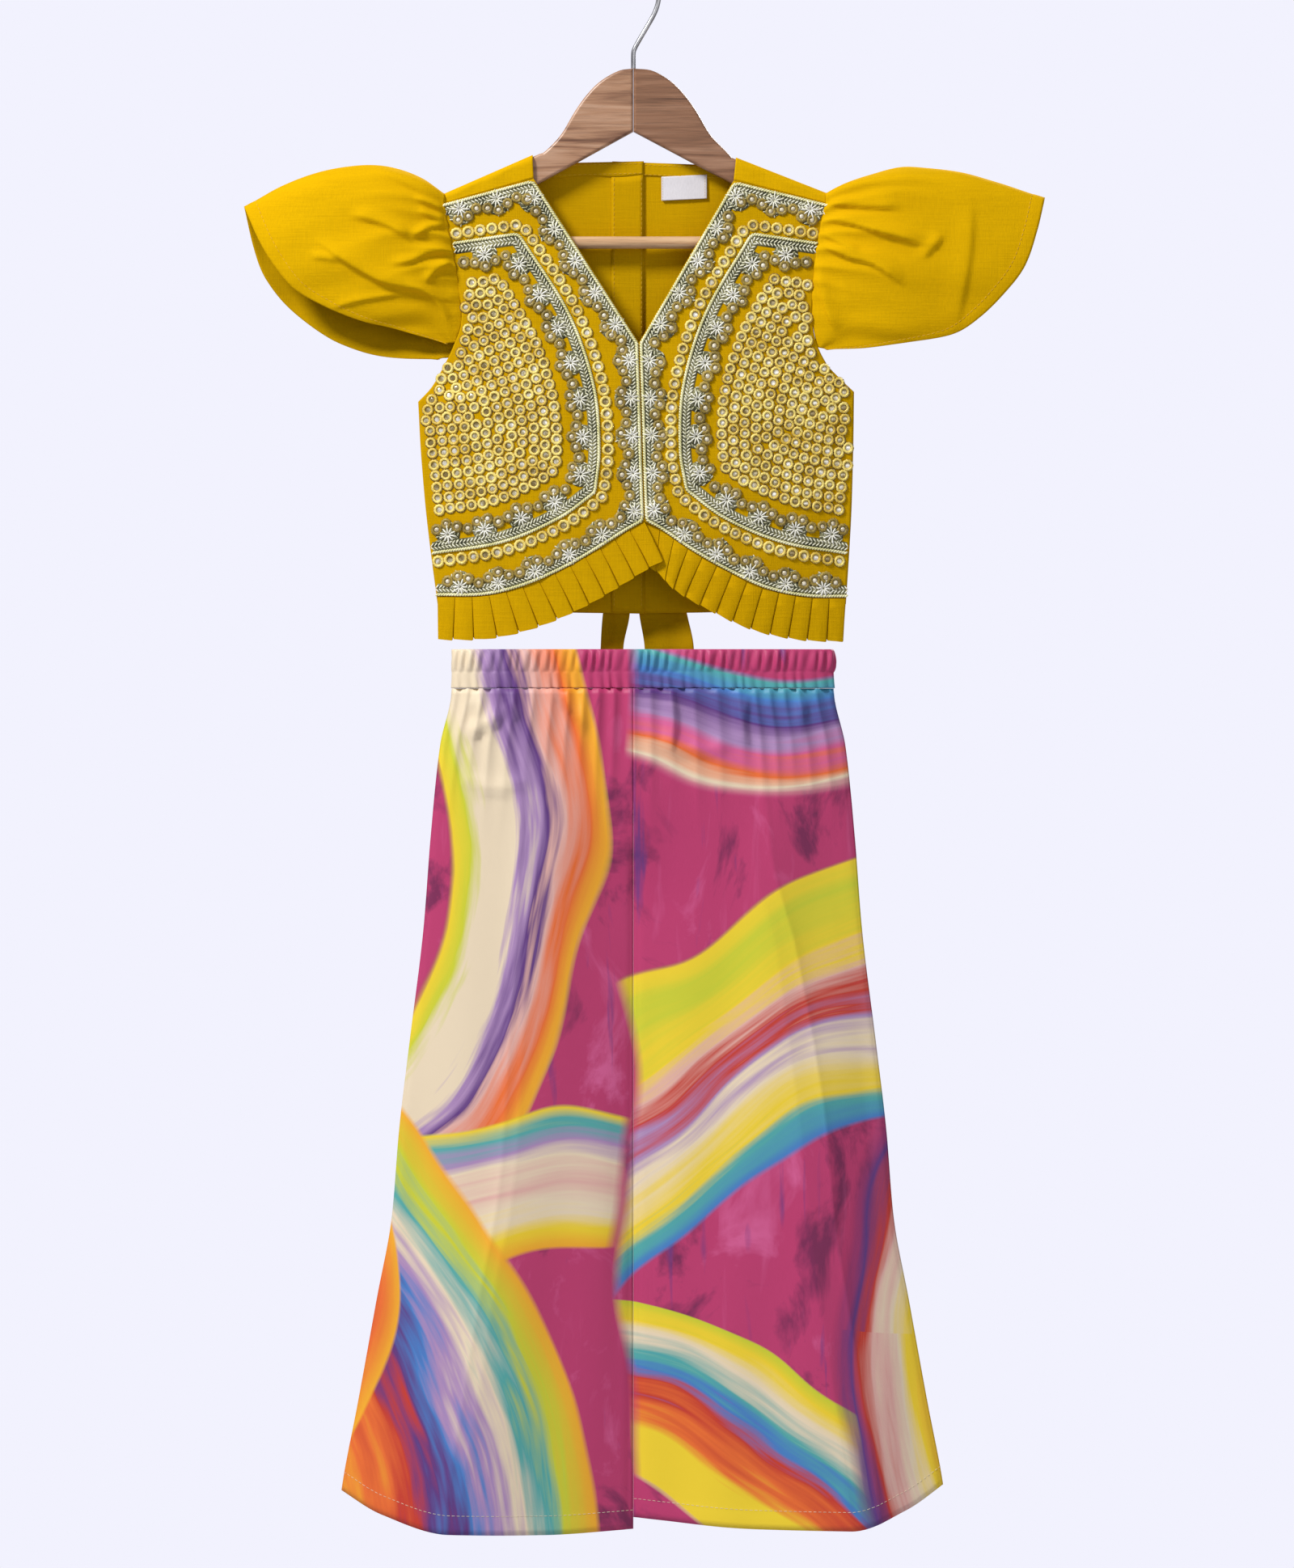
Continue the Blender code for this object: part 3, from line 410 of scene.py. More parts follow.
def front_flat(side):
    seam = (YOKE_SEAM[side]["tip"], YOKE_SEAM[side]["neck"])
    return patch(
        lambda u: along(seam, u),
        lambda u: along(FRONT_HEM[side], u),
        joined(armhole(side, FRONT), SIDE_SEAM[side]),
        joined((YOKE_SEAM[side]["neck"], NECK_BOTTOM), (NECK_BOTTOM, FRONT_BOTTOM)),
    )


def front_place(side):
    flat = front_flat(side)

    def place(u, v):
        point = flat(u, v)
        x, z = point[..., 0], point[..., 1]
        return np.stack((x, -front_depth(side, x, z), z), axis=-1)

    return place


def placket_step(side, x):
    """How far the right back stands outside the left one where they lap."""
    return 0.0 * x if side == LEFT else PLACKET_STEP * (1.0 - smooth(x, *PLACKET_EASE))


def back_relief(x, z):
    hang = smooth(-z, 240.0, 420.0)
    pulled = np.exp(-(((z + 450.0) / 30.0) ** 2))
    drape = waves(x, z, (0.8, 74.0, 400.0, 0.3), (0.5, -47.0, 300.0, 2.1), (0.35, 31.0, -260.0, 1.2))
    return drape * hang * (1.0 - 0.8 * pulled) * smooth(abs(x - 5.0), 20.0, 60.0)


def back_depth(side, x, z):
    return closed(side, top_depth(BACK_FORM, side, x, z) + placket_step(side, x) + back_relief(x, z), x, z)


def back_place(side):
    neck_x, neck_z = NECK_POINT[side]
    tip_x, tip_z = SHOULDER_TIP[side]
    lap_x = LAP_X[side]
    below = BACK_SEAM_DROP + 0.02
    shoulder = ((tip_x, tip_z - below), (neck_x, neck_z - below))
    neck = ((neck_x, neck_z - below), (lap_x, BACK_NECK_HEIGHT))
    hem = (
        (SIDE_SEAM[side][-1].x, BACK_HEM_HEIGHT["side"]),
        (side * 90.0, BACK_HEM_HEIGHT["middle"] + 2.0),
        (lap_x, BACK_HEM_HEIGHT["middle"]),
    )
    flat = patch(
        joined(shoulder, neck),
        lambda u: along(hem, u),
        joined(armhole(side, BACK), SIDE_SEAM[side][:-1] + [hem[0]]),
        lambda v: along(((lap_x, BACK_NECK_HEIGHT), hem[-1]), v),
    )

    def place(u, v):
        x, z = np.moveaxis(flat(u, v), -1, 0)
        return np.stack((x, back_depth(side, x, z), z), axis=-1)

    return place


def shoulder_section(front_drop, back_drop):
    """The bend of the cloth over the shoulder, as depth and drop, from the front seam to the back one."""
    flat = SHOULDER_DEPTH - SHOULDER_BEND
    bend = [
        (flat + SHOULDER_BEND * math.sin(math.radians(a)), SHOULDER_BEND * (1 - math.cos(math.radians(a))))
        for a in (90, 60, 30, 0)
    ]
    front = [(-SHOULDER_DEPTH, front_drop)] + [(-depth, drop) for depth, drop in bend]
    back = [(depth, drop) for depth, drop in reversed(bend)] + [(SHOULDER_DEPTH, back_drop)]
    return front + back


def sleeve_seam(side, layer):
    """The seam loop of the sleeve's front or back layer, from the shoulder's ridge down the armhole."""
    tip_x, tip_z = SHOULDER_TIP[side]
    out = side * -0.6
    under = 0.35
    over = [(tip_x + out, 0.0, tip_z - under)] + [
        (tip_x + out, layer * (depth - under), tip_z - drop - under)
        for depth, drop in shoulder_section(9, 9)[5:9]
    ]
    end = SLEEVE_SEAM_END[side, layer]
    form = FRONT_FORM if layer == FRONT else BACK_FORM
    half = TOP_ROWS // 2
    edge = along(armhole(side, layer), np.arange(half + 1) / half)
    first_below = int(np.argmax(edge[:, 1] < end))
    above, below = edge[first_below - 1], edge[first_below]
    last = above + (below - above) * (above[1] - end) / (above[1] - below[1])
    down = [
        (x + out, layer * (float(level(form, z, "edge")) - under), z)
        for x, z in [*edge[:first_below], last]
    ]
    return over + down


Fold = namedtuple("Fold", "at drift height width reach")
# Gathers of a sleeve, as shares of the way round its seam: place, drift on the way out, height in mm,
# width as a share, and how far out it reaches
SLEEVE_FOLDS = {
    LEFT: [
        Fold(0.035, 0.02, 2.0, 0.016, 0.35), Fold(0.10, -0.03, 2.6, 0.018, 0.55),
        Fold(0.150, -0.02, 3.4, 0.016, 0.80), Fold(0.200, 0.03, 3.0, 0.015, 0.55),
        Fold(0.245, -0.01, 3.8, 0.017, 0.92), Fold(0.290, 0.02, 3.0, 0.014, 0.50),
        Fold(0.335, 0.00, 3.6, 0.017, 0.85), Fold(0.380, 0.03, 2.8, 0.015, 0.55),
        Fold(0.420, 0.01, 3.2, 0.016, 0.72), Fold(0.460, 0.02, 2.6, 0.015, 0.48),
        Fold(0.545, -0.02, 2.6, 0.016, 0.55), Fold(0.590, 0.00, 3.2, 0.017, 0.80),
        Fold(0.640, -0.03, 2.8, 0.016, 0.50), Fold(0.690, 0.02, 3.4, 0.018, 0.85),
        Fold(0.745, 0.00, 3.0, 0.017, 0.60), Fold(0.800, 0.03, 3.2, 0.018, 0.75),
        Fold(0.860, 0.00, 2.6, 0.018, 0.50), Fold(0.925, 0.01, 2.0, 0.018, 0.40),
    ],
    RIGHT: [
        Fold(0.040, 0.00, 2.0, 0.017, 0.40), Fold(0.105, -0.02, 2.6, 0.018, 0.50),
        Fold(0.160, 0.01, 3.4, 0.017, 0.75), Fold(0.205, -0.02, 3.0, 0.015, 0.50),
        Fold(0.250, 0.02, 3.8, 0.018, 0.95), Fold(0.300, 0.00, 3.2, 0.015, 0.60),
        Fold(0.345, 0.02, 3.6, 0.017, 0.78), Fold(0.385, 0.00, 3.0, 0.014, 0.45),
        Fold(0.425, 0.03, 3.4, 0.017, 0.88), Fold(0.465, 0.01, 2.6, 0.014, 0.55),
        Fold(0.540, -0.01, 2.6, 0.016, 0.60), Fold(0.595, 0.01, 3.2, 0.017, 0.72),
        Fold(0.645, -0.02, 3.0, 0.016, 0.50), Fold(0.700, 0.00, 3.4, 0.018, 0.90),
        Fold(0.750, 0.02, 2.8, 0.016, 0.55), Fold(0.810, 0.00, 3.2, 0.018, 0.70),
        Fold(0.865, 0.02, 2.6, 0.017, 0.45), Fold(0.930, 0.00, 2.0, 0.018, 0.40),
    ],
}
SLEEVE_HEM_WIDTH = 0.055

# Sharp creases in the cloth: height, how wide each is above and below its line, and the line as x and z
Crease = namedtuple("Crease", "height above below path")
SLEEVE_CREASES = {
    LEFT: [
        Crease(4.2, 9.0, 2.2,
               ((-275, -229), (-250, -247), (-232.5, -258), (-214, -267), (-195, -271.5), (-163.5, -281.5))),
        Crease(3.4, 8.0, 2.2, ((-244, -209.5), (-219.5, -216), (-203.5, -223), (-193, -230.5))),
        Crease(1.8, 5.0, 2.0, ((-277.5, -245.5), (-261.5, -247), (-251, -249))),
        Crease(2.6, 7.0, 3.0, ((-231, -168.5), (-208.5, -176.5), (-185, -188), (-167.5, -197))),
        Crease(2.8, 6.0, 2.2, ((-211, -252), (-192.5, -249), (-176.5, -242), (-158.5, -241))),
        Crease(2.4, 5.0, 2.0, ((-181, -269), (-172, -258), (-157.5, -249))),
        Crease(2.6, 4.0, 1.8, ((-193, -230.5), (-184, -225), (-177, -220.5), (-162.5, -218.5))),
        Crease(2.2, 3.5, 1.6, ((-187, -206), (-175, -210.5), (-162.5, -213))),
        Crease(2.2, 3.5, 1.6, ((-190, -196), (-178, -200), (-163, -205.5))),
        Crease(1.6, 4.0, 1.8, ((-262, -290), (-238, -283), (-214, -279), (-195, -277))),
        Crease(1.8, 4.0, 1.8, ((-199, -268), (-178, -276), (-165, -290), (-160, -300))),
    ],
    RIGHT: [
        Crease(4.4, 9.0, 1.8, ((160, -214), (184.3, -217.7), (212.5, -226.3), (248, -236))),
        Crease(4.0, 8.0, 1.8, ((155, -233), (182.2, -246), (201.7, -251.3), (228, -268.5))),
        Crease(3.2, 7.0, 2.0, ((158, -199), (188.6, -202.5), (226, -203.8))),
        Crease(3.0, 6.0, 2.4, ((166, -192), (195.1, -184), (227.7, -180.8), (268, -182.5))),
        Crease(2.4, 5.0, 1.8, ((158, -226), (172, -232), (191, -241.5))),
        Crease(2.2, 7.0, 2.6, ((262, -226), (254, -236), (244, -246))),
        Crease(1.6, 12.0, 3.0, ((286, -196), (284, -240), (273, -304))),
        Crease(2.2, 7.0, 2.4, ((154, -252), (159, -272), (164, -292), (172, -308))),
    ],
}
LEG_CREASES = {
    LEFT: [
        Crease(2.6, 7.0, 2.6, ((-121, -603), (-113, -618), (-104, -632), (-95, -641))),
        Crease(2.6, 8.0, 3.0, ((-147, -656), (-130, -646), (-115, -637), (-108, -630))),
        Crease(2.0, 6.0, 2.6, ((-136, -616), (-139, -626), (-134, -636))),
        Crease(2.2, 7.0, 2.6, ((-75, -612), (-66, -620), (-52, -634), (-41, -650))),
        Crease(1.6, 8.0, 3.0, ((-152, -690), (-120, -700), (-88, -692))),
    ],
    RIGHT: [
        Crease(2.2, 7.0, 2.8, ((30, -612), (33, -640), (29, -668))),
        Crease(2.0, 7.0, 2.8, ((98, -614), (92, -640), (96, -664))),
        Crease(1.8, 8.0, 3.0, ((8, -652), (30, -664), (60, -668), (84, -660))),
        Crease(1.8, 7.0, 2.8, ((150, -618), (140, -640), (144, -662))),
    ],
}


def crease_relief(creases, x, z):
    """Ridges along the creases, steep on their lower side."""
    total = 0.0 * x
    points = np.stack((x, z), axis=-1)[..., None, :]
    for crease in creases:
        path = along(crease.path, np.linspace(0.0, 1.0, 20))
        start, run = path[:-1], np.diff(path, axis=0)
        from_start = points - start
        share = np.clip((from_start * run).sum(-1) / (run * run).sum(-1), 0.0, 1.0)
        away = np.linalg.norm(from_start - share[..., None] * run, axis=-1)
        nearest = np.argmin(away, axis=-1)[..., None]
        away = np.take_along_axis(away, nearest, -1)[..., 0]
        turn = run[:, 0] * from_start[..., 1] - run[:, 1] * from_start[..., 0]
        above = np.take_along_axis(turn, nearest, -1)[..., 0] * np.sign(path[-1, 0] - path[0, 0]) > 0
        reach = (nearest[..., 0] + np.take_along_axis(share, nearest, -1)[..., 0]) / len(run)
        taper = smooth(reach, -0.05, 0.3) * (1.0 - smooth(reach, 0.75, 1.08))
        width = np.where(above, crease.above, crease.below)
        total = total + crease.height * taper * np.exp(-((away / width) ** 2))
    return total


def sleeve_relief(side, u, v, x, z):
    """Gathers that run out from the seam, creases, soft hollows farther out, and the turned hem."""
    total = 0.0
    gathered = 0.25 + 0.95 * smooth(z, -285.0, -240.0)
    for fold in SLEEVE_FOLDS[side]:
        spread = fold.width * (1.0 + 1.3 * v)
        ridge = np.exp(-(np.abs((u - fold.at - fold.drift * v) / spread) ** 1.4))
        fade = 1.0 - smooth(v, 0.25 * fold.reach, fold.reach)
        total = total + gathered * fold.height * ridge * fade * smooth(v, -0.12, 0.07)
    soft = waves(u, v, (0.9, 0.31, 1.3, 0.5), (0.7, -0.17, 0.9, 2.2), (0.4, 0.09, -1.7, 0.9))
    hem = 0.35 * smooth(v, 1.0 - SLEEVE_HEM_WIDTH, 1.0 - SLEEVE_HEM_WIDTH + 0.012)
    creases = 1.25 * crease_relief(SLEEVE_CREASES[side], x, z)
    creases = creases * (1.0 - smooth(u, 0.42, 0.5)) * smooth(v, 0.0, 0.04)
    return total + creases + soft * smooth(v, 0.15, 0.6) * (1.0 - 0.5 * smooth(v, 0.8, 1.0)) + hem


def sleeve_place(side):
    seams = {layer: sleeve_seam(side, layer) for layer in (FRONT, BACK)}
    fold = SLEEVE_FOLD[side]

    def one_layer(layer, down, v):
        seam = along(seams[layer], down, straight=True)
        hem = along(SLEEVE_HEM[side, layer], down)
        end_depth = abs(seams[layer][-1][1])
        hem_depth = end_depth * down + SLEEVE_HEM_DEPTH * np.sin(np.pi * down**0.6)
        t = v[..., None]
        straight = seam[..., ::2] * (1 - t) + hem * t
        bulge = along(fold, v) - (np.array(fold[0]) * (1 - t) + np.array(fold[-1]) * t)
        flat = straight + bulge * ((1 - down) ** 1.5)[..., None]
        puff = SLEEVE_PUFF * 4 * v * (1 - v) * np.sin(np.pi * down**0.7)
        y = seam[..., 1] * (1 - v) + layer * (hem_depth * v + puff)
        return np.stack((flat[..., 0], y, flat[..., 1]), axis=-1)

    def place(u, v):
        down = abs(2 * u - 1)
        return np.where((u < 0.5)[..., None], one_layer(FRONT, down, v), one_layer(BACK, down, v))

    return place


def frill_place(side):
    """The plane that the frill's pleats hang in, square to the front's hem. u runs along the hem."""
    step = 0.004

    def place(u, v, out):
        hem = along(FRONT_HEM[side], u)
        after, before = np.minimum(1.0, u + step), np.maximum(0.0, u - step)
        run = along(FRONT_HEM[side], after) - along(FRONT_HEM[side], before)
        down = np.stack((run[..., 1], -run[..., 0]), axis=-1)
        down /= np.linalg.norm(down, axis=-1, keepdims=True)
        down = np.where(down[..., 1:] > 0, -down, down)
        if side == RIGHT:
            turn = smooth(u, 0.6, 1.0)[..., None]
            down = down * (1 - turn) + np.array((0.0, -1.0)) * turn
            down /= np.linalg.norm(down, axis=-1, keepdims=True)
        point = hem + down * (GAP + (FRILL_DEPTH - GAP) * v)[..., None]
        hidden = smooth(u, 0.8, 0.98) if side == RIGHT else 0.0 * u
        over = smooth(u, 0.75, 1.0) if side == LEFT else 0.0
        lift = out * (1.0 - hidden) - FRILL_LAP * hidden + 1.5 * v * over
        base = top_depth(FRONT_FORM, side, hem[..., 0], hem[..., 1])
        return np.stack((point[..., 0], -base - lift, point[..., 1]), axis=-1)

    return place


def leg_depth(side, share, x, z):
    """Depth of a leg's outer face: one round body above the crotch, and a creased leg of its own below it."""
    half = level(PALAZZO_SIDE, z, "half")
    across = np.minimum(1.0, abs(x - PALAZZO_SHIFT) / half)
    whole = SEAM_DEPTH + (level(LEG_FORM, z, "whole") - SEAM_DEPTH) * (1.0 - across**5)
    crease = level(PALAZZO_CREASE[side], z, "share")
    rise = np.where(share < crease, share / crease, (1.0 - share) / (1.0 - crease))
    leg = SEAM_DEPTH + (level(LEG_FORM, z, "crease") - SEAM_DEPTH) * (1.4 * rise - 0.4 * rise * rise)
    return whole + (leg - whole) * smooth(-z, 690.0, -CROTCH_HEIGHT)


def leg_relief(side, layer, u, v, x, z):
    """Gathers under the waistband, the pressed crease, and slow hollows down the leg."""
    phase = 1.3 * side + 0.7 * layer
    gather = np.abs(np.sin(np.pi * 11.0 * (u + 0.015 * np.sin(9.0 * u + phase) + 0.01 * v * side)))
    near = 1.0 - smooth(-z, -WAIST_BOTTOM + 4.0, -LEG_GATHER_END + 20.0 * np.sin(23.0 * u + phase))
    total = 2.8 * (1.0 - gather) * near
    drape = waves(x, z, (0.9, 118.0, 900.0, phase), (0.5, -66.0, 700.0, 2 * phase), (0.4, 210.0, 190.0, 0.5))
    total = total + drape * smooth(-z, 640.0, 760.0) * smooth(u, 0.0, 0.12) * (1.0 - smooth(u, 0.88, 1.0))
    pressed = 0.56 if side == LEFT else 0.57 + 0.08 * smooth(-z, 660.0, 1000.0)
    crease = np.exp(-np.abs(u - pressed) / 0.05) * smooth(-z, 640.0, 760.0) * (1.0 - smooth(u, 0.88, 1.0))
    hem = 0.4 * smooth(v, 0.978, 0.981)
    folds = crease_relief(LEG_CREASES[side], x, z) if layer == FRONT else 0.0
    return total + 2.4 * crease + hem + 1.5 * folds


def leg_place(side, layer):
    def place(u, v):
        crease_z = WAIST_BOTTOM + v * (LEG_BOTTOM - WAIST_BOTTOM)
        crease = level(PALAZZO_CREASE[side], crease_z, "share")
        share = np.where(u < 0.5, 2 * u * crease, crease + (2 * u - 1) * (1 - crease))
        top = WAIST_BOTTOM - GAP
        z = top + v * (level(PALAZZO_HEM[side], share, "z", by="share") - top)
        inner = PALAZZO_MIDDLE + side * 0.04
        outer = PALAZZO_SHIFT + side * level(PALAZZO_SIDE, z, "half")
        x = inner + (outer - inner) * share
        depth = leg_depth(side, share, x, z) + leg_relief(side, layer, u, v, x, z)
        sewn = smooth(u, 0.965, 1.0) ** 2 + (1.0 - smooth(u, 0.0, 0.03)) * smooth(-z, 740.0, 805.0)
        depth = depth + (THIN + 0.02 - depth) * np.minimum(1.0, sewn)
        return np.stack((x, layer * depth, z), axis=-1)

    return place


def new_mesh(name, verts, polygons):
    """A mesh from points in millimetres and arrays of faces."""
    mesh = bpy.data.meshes.new(name)
    corners = np.concatenate([faces.ravel() for faces in polygons]).astype(np.int32)
    sizes = np.concatenate([np.full(len(faces), faces.shape[1]) for faces in polygons])
    starts = np.concatenate(([0], np.cumsum(sizes)[:-1])).astype(np.int32)
    mesh.vertices.add(len(verts))
    mesh.vertices.foreach_set("co", (np.asarray(verts) * MM).ravel().astype(np.float32))
    mesh.loops.add(len(corners))
    mesh.loops.foreach_set("vertex_index", corners)
    mesh.polygons.add(len(sizes))
    mesh.polygons.foreach_set("loop_start", starts)
    mesh.update(calc_edges=True)
    return mesh


def finished(obj, material, slot, nodes, sharp=None):
    """Gives a piece its material, its place on the body and the nodes that it stands for."""
    bpy.context.scene.collection.objects.link(obj)
    if obj.type == "MESH":
        obj.data.shade_smooth()
        if sharp:
            obj.data.set_sharp_from_angle(angle=math.radians(sharp))
    obj.data.materials.append(material)
    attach(obj, "root")
    if nodes:
        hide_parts(*nodes)
    return obj


def unit(vectors):
    return vectors / np.maximum(np.linalg.norm(vectors, axis=-1, keepdims=True), 1e-9)


def outward(points, facing):
    """The normals of a grid, with its middle facing the given way, and whether the grid is turned."""
    across, down = np.gradient(points, axis=1), np.gradient(points, axis=0)
    normals = unit(np.cross(across, down))
    rows, columns = points.shape[:2]
    turned = normals[rows // 2, columns // 2].dot(facing) < 0
    return (-normals if turned else normals), turned


def wall_arrays(points, facing, wall):
    """A closed wall whose outer face is a grid of points, as points and faces."""
    normals, turned = outward(points, facing)
    rows, columns = points.shape[0], points.shape[1]
    inner = points - normals * wall
    verts = np.concatenate((points.reshape(-1, 3), inner.reshape(-1, 3)))
    index = np.arange(rows * columns).reshape(rows, columns)
    quads = np.stack((index[:-1, :-1], index[:-1, 1:], index[1:, 1:], index[1:, :-1]), axis=-1).reshape(-1, 4)
    ring = np.concatenate((index[0, :-1], index[:-1, -1], index[-1, :0:-1], index[:0:-1, 0]))
    after = np.roll(ring, -1)
    shift = rows * columns
    rim = np.stack((after, ring, ring + shift, after + shift), axis=-1)
    faces = np.concatenate((quads, quads[:, ::-1] + shift, rim))
    return verts, (faces[:, ::-1] if turned else faces)


def closed_faces(rows, columns):
    """The faces of a grid that closes on itself both ways."""
    index = np.arange(rows * columns).reshape(rows, columns)
    right, down = np.roll(index, -1, axis=1), np.roll(index, -1, axis=0)
    return np.stack((index, down, np.roll(down, -1, axis=1), right), axis=-1).reshape(-1, 4)


def merged(parts):
    """Several sets of points and faces, with equally many corners a face, as one."""
    verts, faces, shift = [], [], 0
    for points, polygons in parts:
        verts.append(points)
        faces.append(polygons + shift)
        shift += len(points)
    return np.concatenate(verts), np.concatenate(faces)


def grid(columns, rows):
    return np.meshgrid(np.linspace(0.0, 1.0, columns + 1), np.linspace(0.0, 1.0, rows + 1))


def cloth(name, layers, material, slot, nodes, wall=THIN, sharp=None, inside=None):
    """A piece of cloth from grids of points, each with the way that its middle faces."""
    walls = [wall_arrays(points, np.array(facing, float), wall) for points, facing in layers]
    verts, faces = merged(walls)
    piece = finished(bpy.data.objects.new(name, new_mesh(name, verts, [faces])), material, slot, nodes, sharp)
    # The inside material goes on the inner faces; where it is given it is painted shade
    if inside:
        piece.data.materials.append(inside)
        index = []
        for points, _ in layers:
            count = (points.shape[0] - 1) * (points.shape[1] - 1)
            rim = 2 * (points.shape[0] + points.shape[1] - 2)
            index += [0] * count + [1] * count + [0] * rim
        piece.data.polygons.foreach_set("material_index", np.array(index, np.int32))
    return piece


def surface_area(points):
    """The area of a grid of points, in square metres."""
    across, down = np.diff(points, axis=1)[:-1], np.diff(points, axis=0)[:, :-1]
    return float(np.linalg.norm(np.cross(across, down), axis=-1).sum()) * MM * MM


# Materials


def node(tree, kind, inputs=None, output=0, **settings):
    """Adds a shader node and returns one of its outputs. An input is a number, a colour or another output."""
    new = tree.nodes.new("ShaderNode" + kind)
    for key, value in settings.items():
        setattr(new, key, value)
    for key, value in (inputs or {}).items():
        if isinstance(value, bpy.types.NodeSocket):
            tree.links.new(value, new.inputs[key])
        else:
            new.inputs[key].default_value = value
    return new.outputs[output]


def ramp(tree, factor, *stops, interpolation="LINEAR", output=0):
    """A colour ramp. Each stop is a place, a colour, and a share of cover if it isn't whole."""
    new = tree.nodes.new("ShaderNodeValToRGB")
    new.color_ramp.interpolation = interpolation
    elements = new.color_ramp.elements
    while len(elements) < len(stops):
        elements.new(0.5)
    for element, (place, colour, *cover) in zip(elements, stops):
        element.position = place
    for element, (place, colour, *cover) in zip(elements, stops):
        element.color = (*colour, cover[0] if cover else 1.0)
    tree.links.new(factor, new.inputs["Fac"])
    return new.outputs[output] if output is not None else (new.outputs["Color"], new.outputs["Alpha"])


def new_material(name, **sockets):
    material = bpy.data.materials.new(name)
    material.use_nodes = True
    shader = material.node_tree.nodes["Principled BSDF"]
    for key, value in sockets.items():
        shader.inputs[key.replace("_", " ").title().replace("Ior", "IOR")].default_value = value
    return material, material.node_tree, shader


def scaled(tree, scale, turn=(0.0, 0.0, 0.0)):
    """Object coordinates in metres, stretched for a pattern."""
    place = node(tree, "TexCoord", output=3)
    return node(tree, "Mapping", {"Vector": place, "Rotation": turn, "Scale": scale})


def noise(tree, vector, scale, detail=2.0, roughness=0.5, distortion=0.0, output=0):
    inputs = {"Vector": vector, "Scale": scale, "Detail": detail, "Roughness": roughness,
              "Distortion": distortion}
    return node(tree, "TexNoise", inputs, output=output)


def grain(tree, scale, *settings):
    """Noise in object coordinates that are stretched by a scale."""
    return noise(tree, scaled(tree, scale), 1.0, *settings)


def mapped(tree, value, low, high, new_low=0.0, new_high=1.0):
    """A value moved from one range to another."""
    return node(tree, "MapRange", {"Value": value, 1: low, 2: high, 3: new_low, 4: new_high})


def mixed(tree, share, first, second, blend="MIX"):
    """Two colours mixed."""
    new = tree.nodes.new("ShaderNodeMix")
    new.data_type = "RGBA"
    new.blend_type = blend
    for key, value in (("Factor_Float", share), ("A_Color", first), ("B_Color", second)):
        socket = next(s for s in new.inputs if s.identifier == key)
        if isinstance(value, bpy.types.NodeSocket):
            tree.links.new(value, socket)
        else:
            socket.default_value = (*value, 1.0) if isinstance(value, tuple) else value
    return next(s for s in new.outputs if s.identifier == "Result_Color")


def sums(tree, kind, first, second, clamp=False):
    return node(tree, "Math", {0: first, 1: second}, operation=kind, use_clamp=clamp)


def bumped(tree, shader, height, distance, strength=1.0):
    bump = node(tree, "Bump", {"Height": height, "Distance": distance, "Strength": strength})
    tree.links.new(bump, shader.inputs["Normal"])


def cotton_material(name, colour, shade):
    """Slub cotton: fine crossing threads, with long thicker ones among them."""
    material, tree, shader = new_material(name, roughness=0.9, specular_ior_level=0.03)
    down = grain(tree, (1100.0, 1100.0, 38.0), 3.0, 0.6)
    across = grain(tree, (38.0, 38.0, 1100.0), 3.0, 0.6)
    threads = sums(tree, "ADD", down, across)
    half = mapped(tree, threads, 0.72, 1.28)
    cloud = grain(tree, (9.0, 9.0, 9.0), 2.0)
    base = mixed(tree, half, tuple(c * shade for c in colour), colour)
    base = mixed(tree, mapped(tree, cloud, 0.35, 0.65, 0.0, 0.35), base,
                 (colour[0] * 0.93, colour[1] * 0.86, colour[2]))
    tree.links.new(base, shader.inputs["Base Color"])
    weave = grain(tree, (2400.0, 2400.0, 2400.0), 1.0)
    bumped(tree, shader, sums(tree, "ADD", threads, sums(tree, "MULTIPLY", weave, 0.5)), 0.00035, 0.7)
    return material


def thread_material(name, dark, pale, roughness=0.45):
    """Embroidery thread: fine twist, uneven in tone, with a soft shine."""
    material, tree, shader = new_material(name, roughness=roughness, sheen_weight=0.1)
    tone = grain(tree, (700.0, 700.0, 700.0), 2.0)
    cloud = grain(tree, (60.0, 60.0, 60.0), 1.0)
    share = mapped(tree, sums(tree, "ADD", tone, cloud), 0.8, 1.2)
    tree.links.new(mixed(tree, share, dark, pale), shader.inputs["Base Color"])
    bumped(tree, shader, grain(tree, (3000.0, 3000.0, 3000.0), 1.0), 0.0001, 0.6)
    return material


def mirror_material():
    """Small sewn mirrors, each a little clouded in its roughness, with painted reflections in its colour:
    patches from dark olive to near white.
    """
    material, tree, shader = new_material("mirror_glass", metallic=0.45, coat_weight=0.6, coat_roughness=0.05)
    cloud = grain(tree, (150.0, 150.0, 150.0), 2.0)
    # Painted reflection: dark olive and near-white patches stand in for what the mirrors reflect
    painted_reflection = ramp(tree, cloud, (0.38, (0.30, 0.22, 0.08)), (0.50, (0.62, 0.54, 0.32)),
                (0.62, (0.98, 0.95, 0.86)))
    tree.links.new(painted_reflection, shader.inputs["Base Color"])
    tree.links.new(mapped(tree, cloud, 0.0, 1.0, 0.08, 0.30), shader.inputs["Roughness"])
    return material


def pearl_material():
    material, tree, shader = new_material("pearl_bead", roughness=0.22, coat_weight=0.4, coat_roughness=0.1)
    tone = grain(tree, (260.0, 260.0, 260.0), 1.0)
    tree.links.new(ramp(tree, tone, (0.3, (0.50, 0.40, 0.22)), (0.7, (0.90, 0.84, 0.68))),
                   shader.inputs["Base Color"])
    bumped(tree, shader, grain(tree, (900.0, 900.0, 900.0), 1.0), 0.0002, 0.3)
    return material


